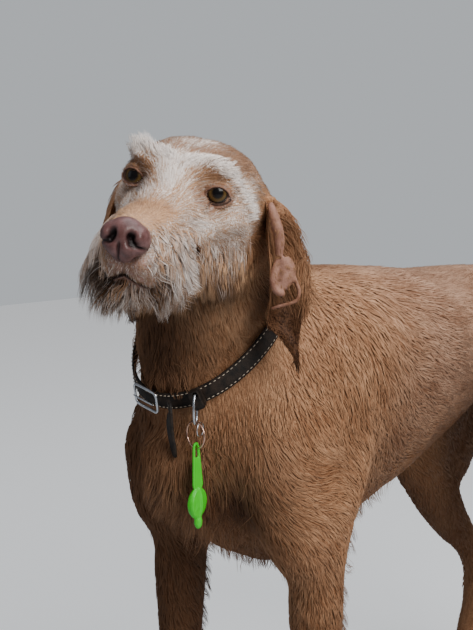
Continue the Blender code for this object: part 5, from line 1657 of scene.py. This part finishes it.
# Nostrils, slits and the middle groove are painted near black by their depth: painted shade in the hollows.
hollow = tree.nodes.new("ShaderNodeAttribute")
hollow.attribute_name = "hollow"
shade = colour_node(tree, "MIX", hollow.outputs["Fac"], ramp.outputs["Color"], (0.010, 0.004, 0.004, 1))
tree.links.new(shade, shader.inputs["Base Color"])
roughened(tree, shader, pebble["Distance"], 0.55, 0.0003)
shine = number_node(tree, "MULTIPLY_ADD", hollow.outputs["Fac"], -0.25, 0.25, clamp=True)
tree.links.new(shine, shader.inputs["Coat Weight"])
shader.inputs["Coat Roughness"].default_value = 0.22
nose.data.materials.append(pad)
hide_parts("nose")
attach(nose, "root")

# ------------------------------------------------------------------------------------------------ studio
# A pale floor and a plain pale backdrop, lit softly by large lamps. The backdrop and the floor's glow are for
# the eye only: they throw no light on the dog.
sky = bpy.data.worlds.new("studio")
bpy.context.scene.world = sky
sky.use_nodes = True
tree = sky.node_tree
air = tree.nodes["Background"]
air.inputs["Color"].default_value = (0.94, 0.94, 1.0, 1.0)
air.inputs["Strength"].default_value = 0.17
wall = tree.nodes.new("ShaderNodeBackground")
wall.inputs["Color"].default_value = (0.80, 0.84, 0.88, 1.0)
wall.inputs["Strength"].default_value = 0.60
seen = tree.nodes.new("ShaderNodeLightPath")
either = tree.nodes.new("ShaderNodeMixShader")
tree.links.new(seen.outputs["Is Camera Ray"], either.inputs[0])
tree.links.new(air.outputs[0], either.inputs[1])
tree.links.new(wall.outputs[0], either.inputs[2])
tree.links.new(either.outputs[0], tree.nodes["World Output"].inputs["Surface"])

bpy.ops.mesh.primitive_plane_add(size=8.0, location=(0, 0, 0))
floor = bpy.context.object
floor.name = "floor"
floor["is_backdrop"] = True
paint, tree, shader, _ = finish("floor", 0.8)
shader.inputs["Base Color"].default_value = (0.48, 0.49, 0.50, 1)
shader.inputs["Emission Color"].default_value = (0.46, 0.47, 0.48, 1)
seen = tree.nodes.new("ShaderNodeLightPath")
tree.links.new(seen.outputs["Is Camera Ray"], shader.inputs["Emission Strength"])
floor.data.materials.append(paint)


def softbox(name, place, target, size, power, tint):
    light = bpy.data.lights.new(name, "AREA")
    light.shape = "RECTANGLE"
    light.size, light.size_y = size
    light.energy = power
    light.color = tint
    box = new_piece(name, light)
    box.location = place
    box.rotation_euler = (Vector(target) - Vector(place)).to_track_quat("-Z", "Y").to_euler()


softbox("key", (2.1, -0.5, 2.0), (0.0, -0.25, 0.5), (1.6, 1.6), 66, (1.0, 0.98, 0.95))
softbox("top", (0.3, 0.3, 2.6), (0.0, 0.0, 0.4), (2.4, 2.0), 46, (0.92, 0.96, 1.0))
softbox("side", (-1.2, -2.2, 1.2), (0.0, -0.2, 0.45), (1.0, 1.6), 3, (0.86, 0.93, 1.0))

camera_data = bpy.data.cameras.new("camera")
camera_data.sensor_fit = "VERTICAL"
camera_data.sensor_width = 36.0
camera_data.sensor_height = 36.0
camera_data.lens = 58.286
camera = new_piece("camera", camera_data)
AZIMUTH, TILT = math.radians(45.5), math.radians(8.0)
look = Vector((-math.sin(AZIMUTH) * math.cos(TILT), math.cos(AZIMUTH) * math.cos(TILT), -math.sin(TILT)))
right = Vector((math.cos(AZIMUTH), math.sin(AZIMUTH), 0.0))
camera.matrix_world = Matrix.Translation((0.6376, -0.8702, 0.695)) @ Matrix(
    (right, right.cross(look), -look)
).transposed().to_4x4()
bpy.context.scene.camera = camera

low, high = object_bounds()
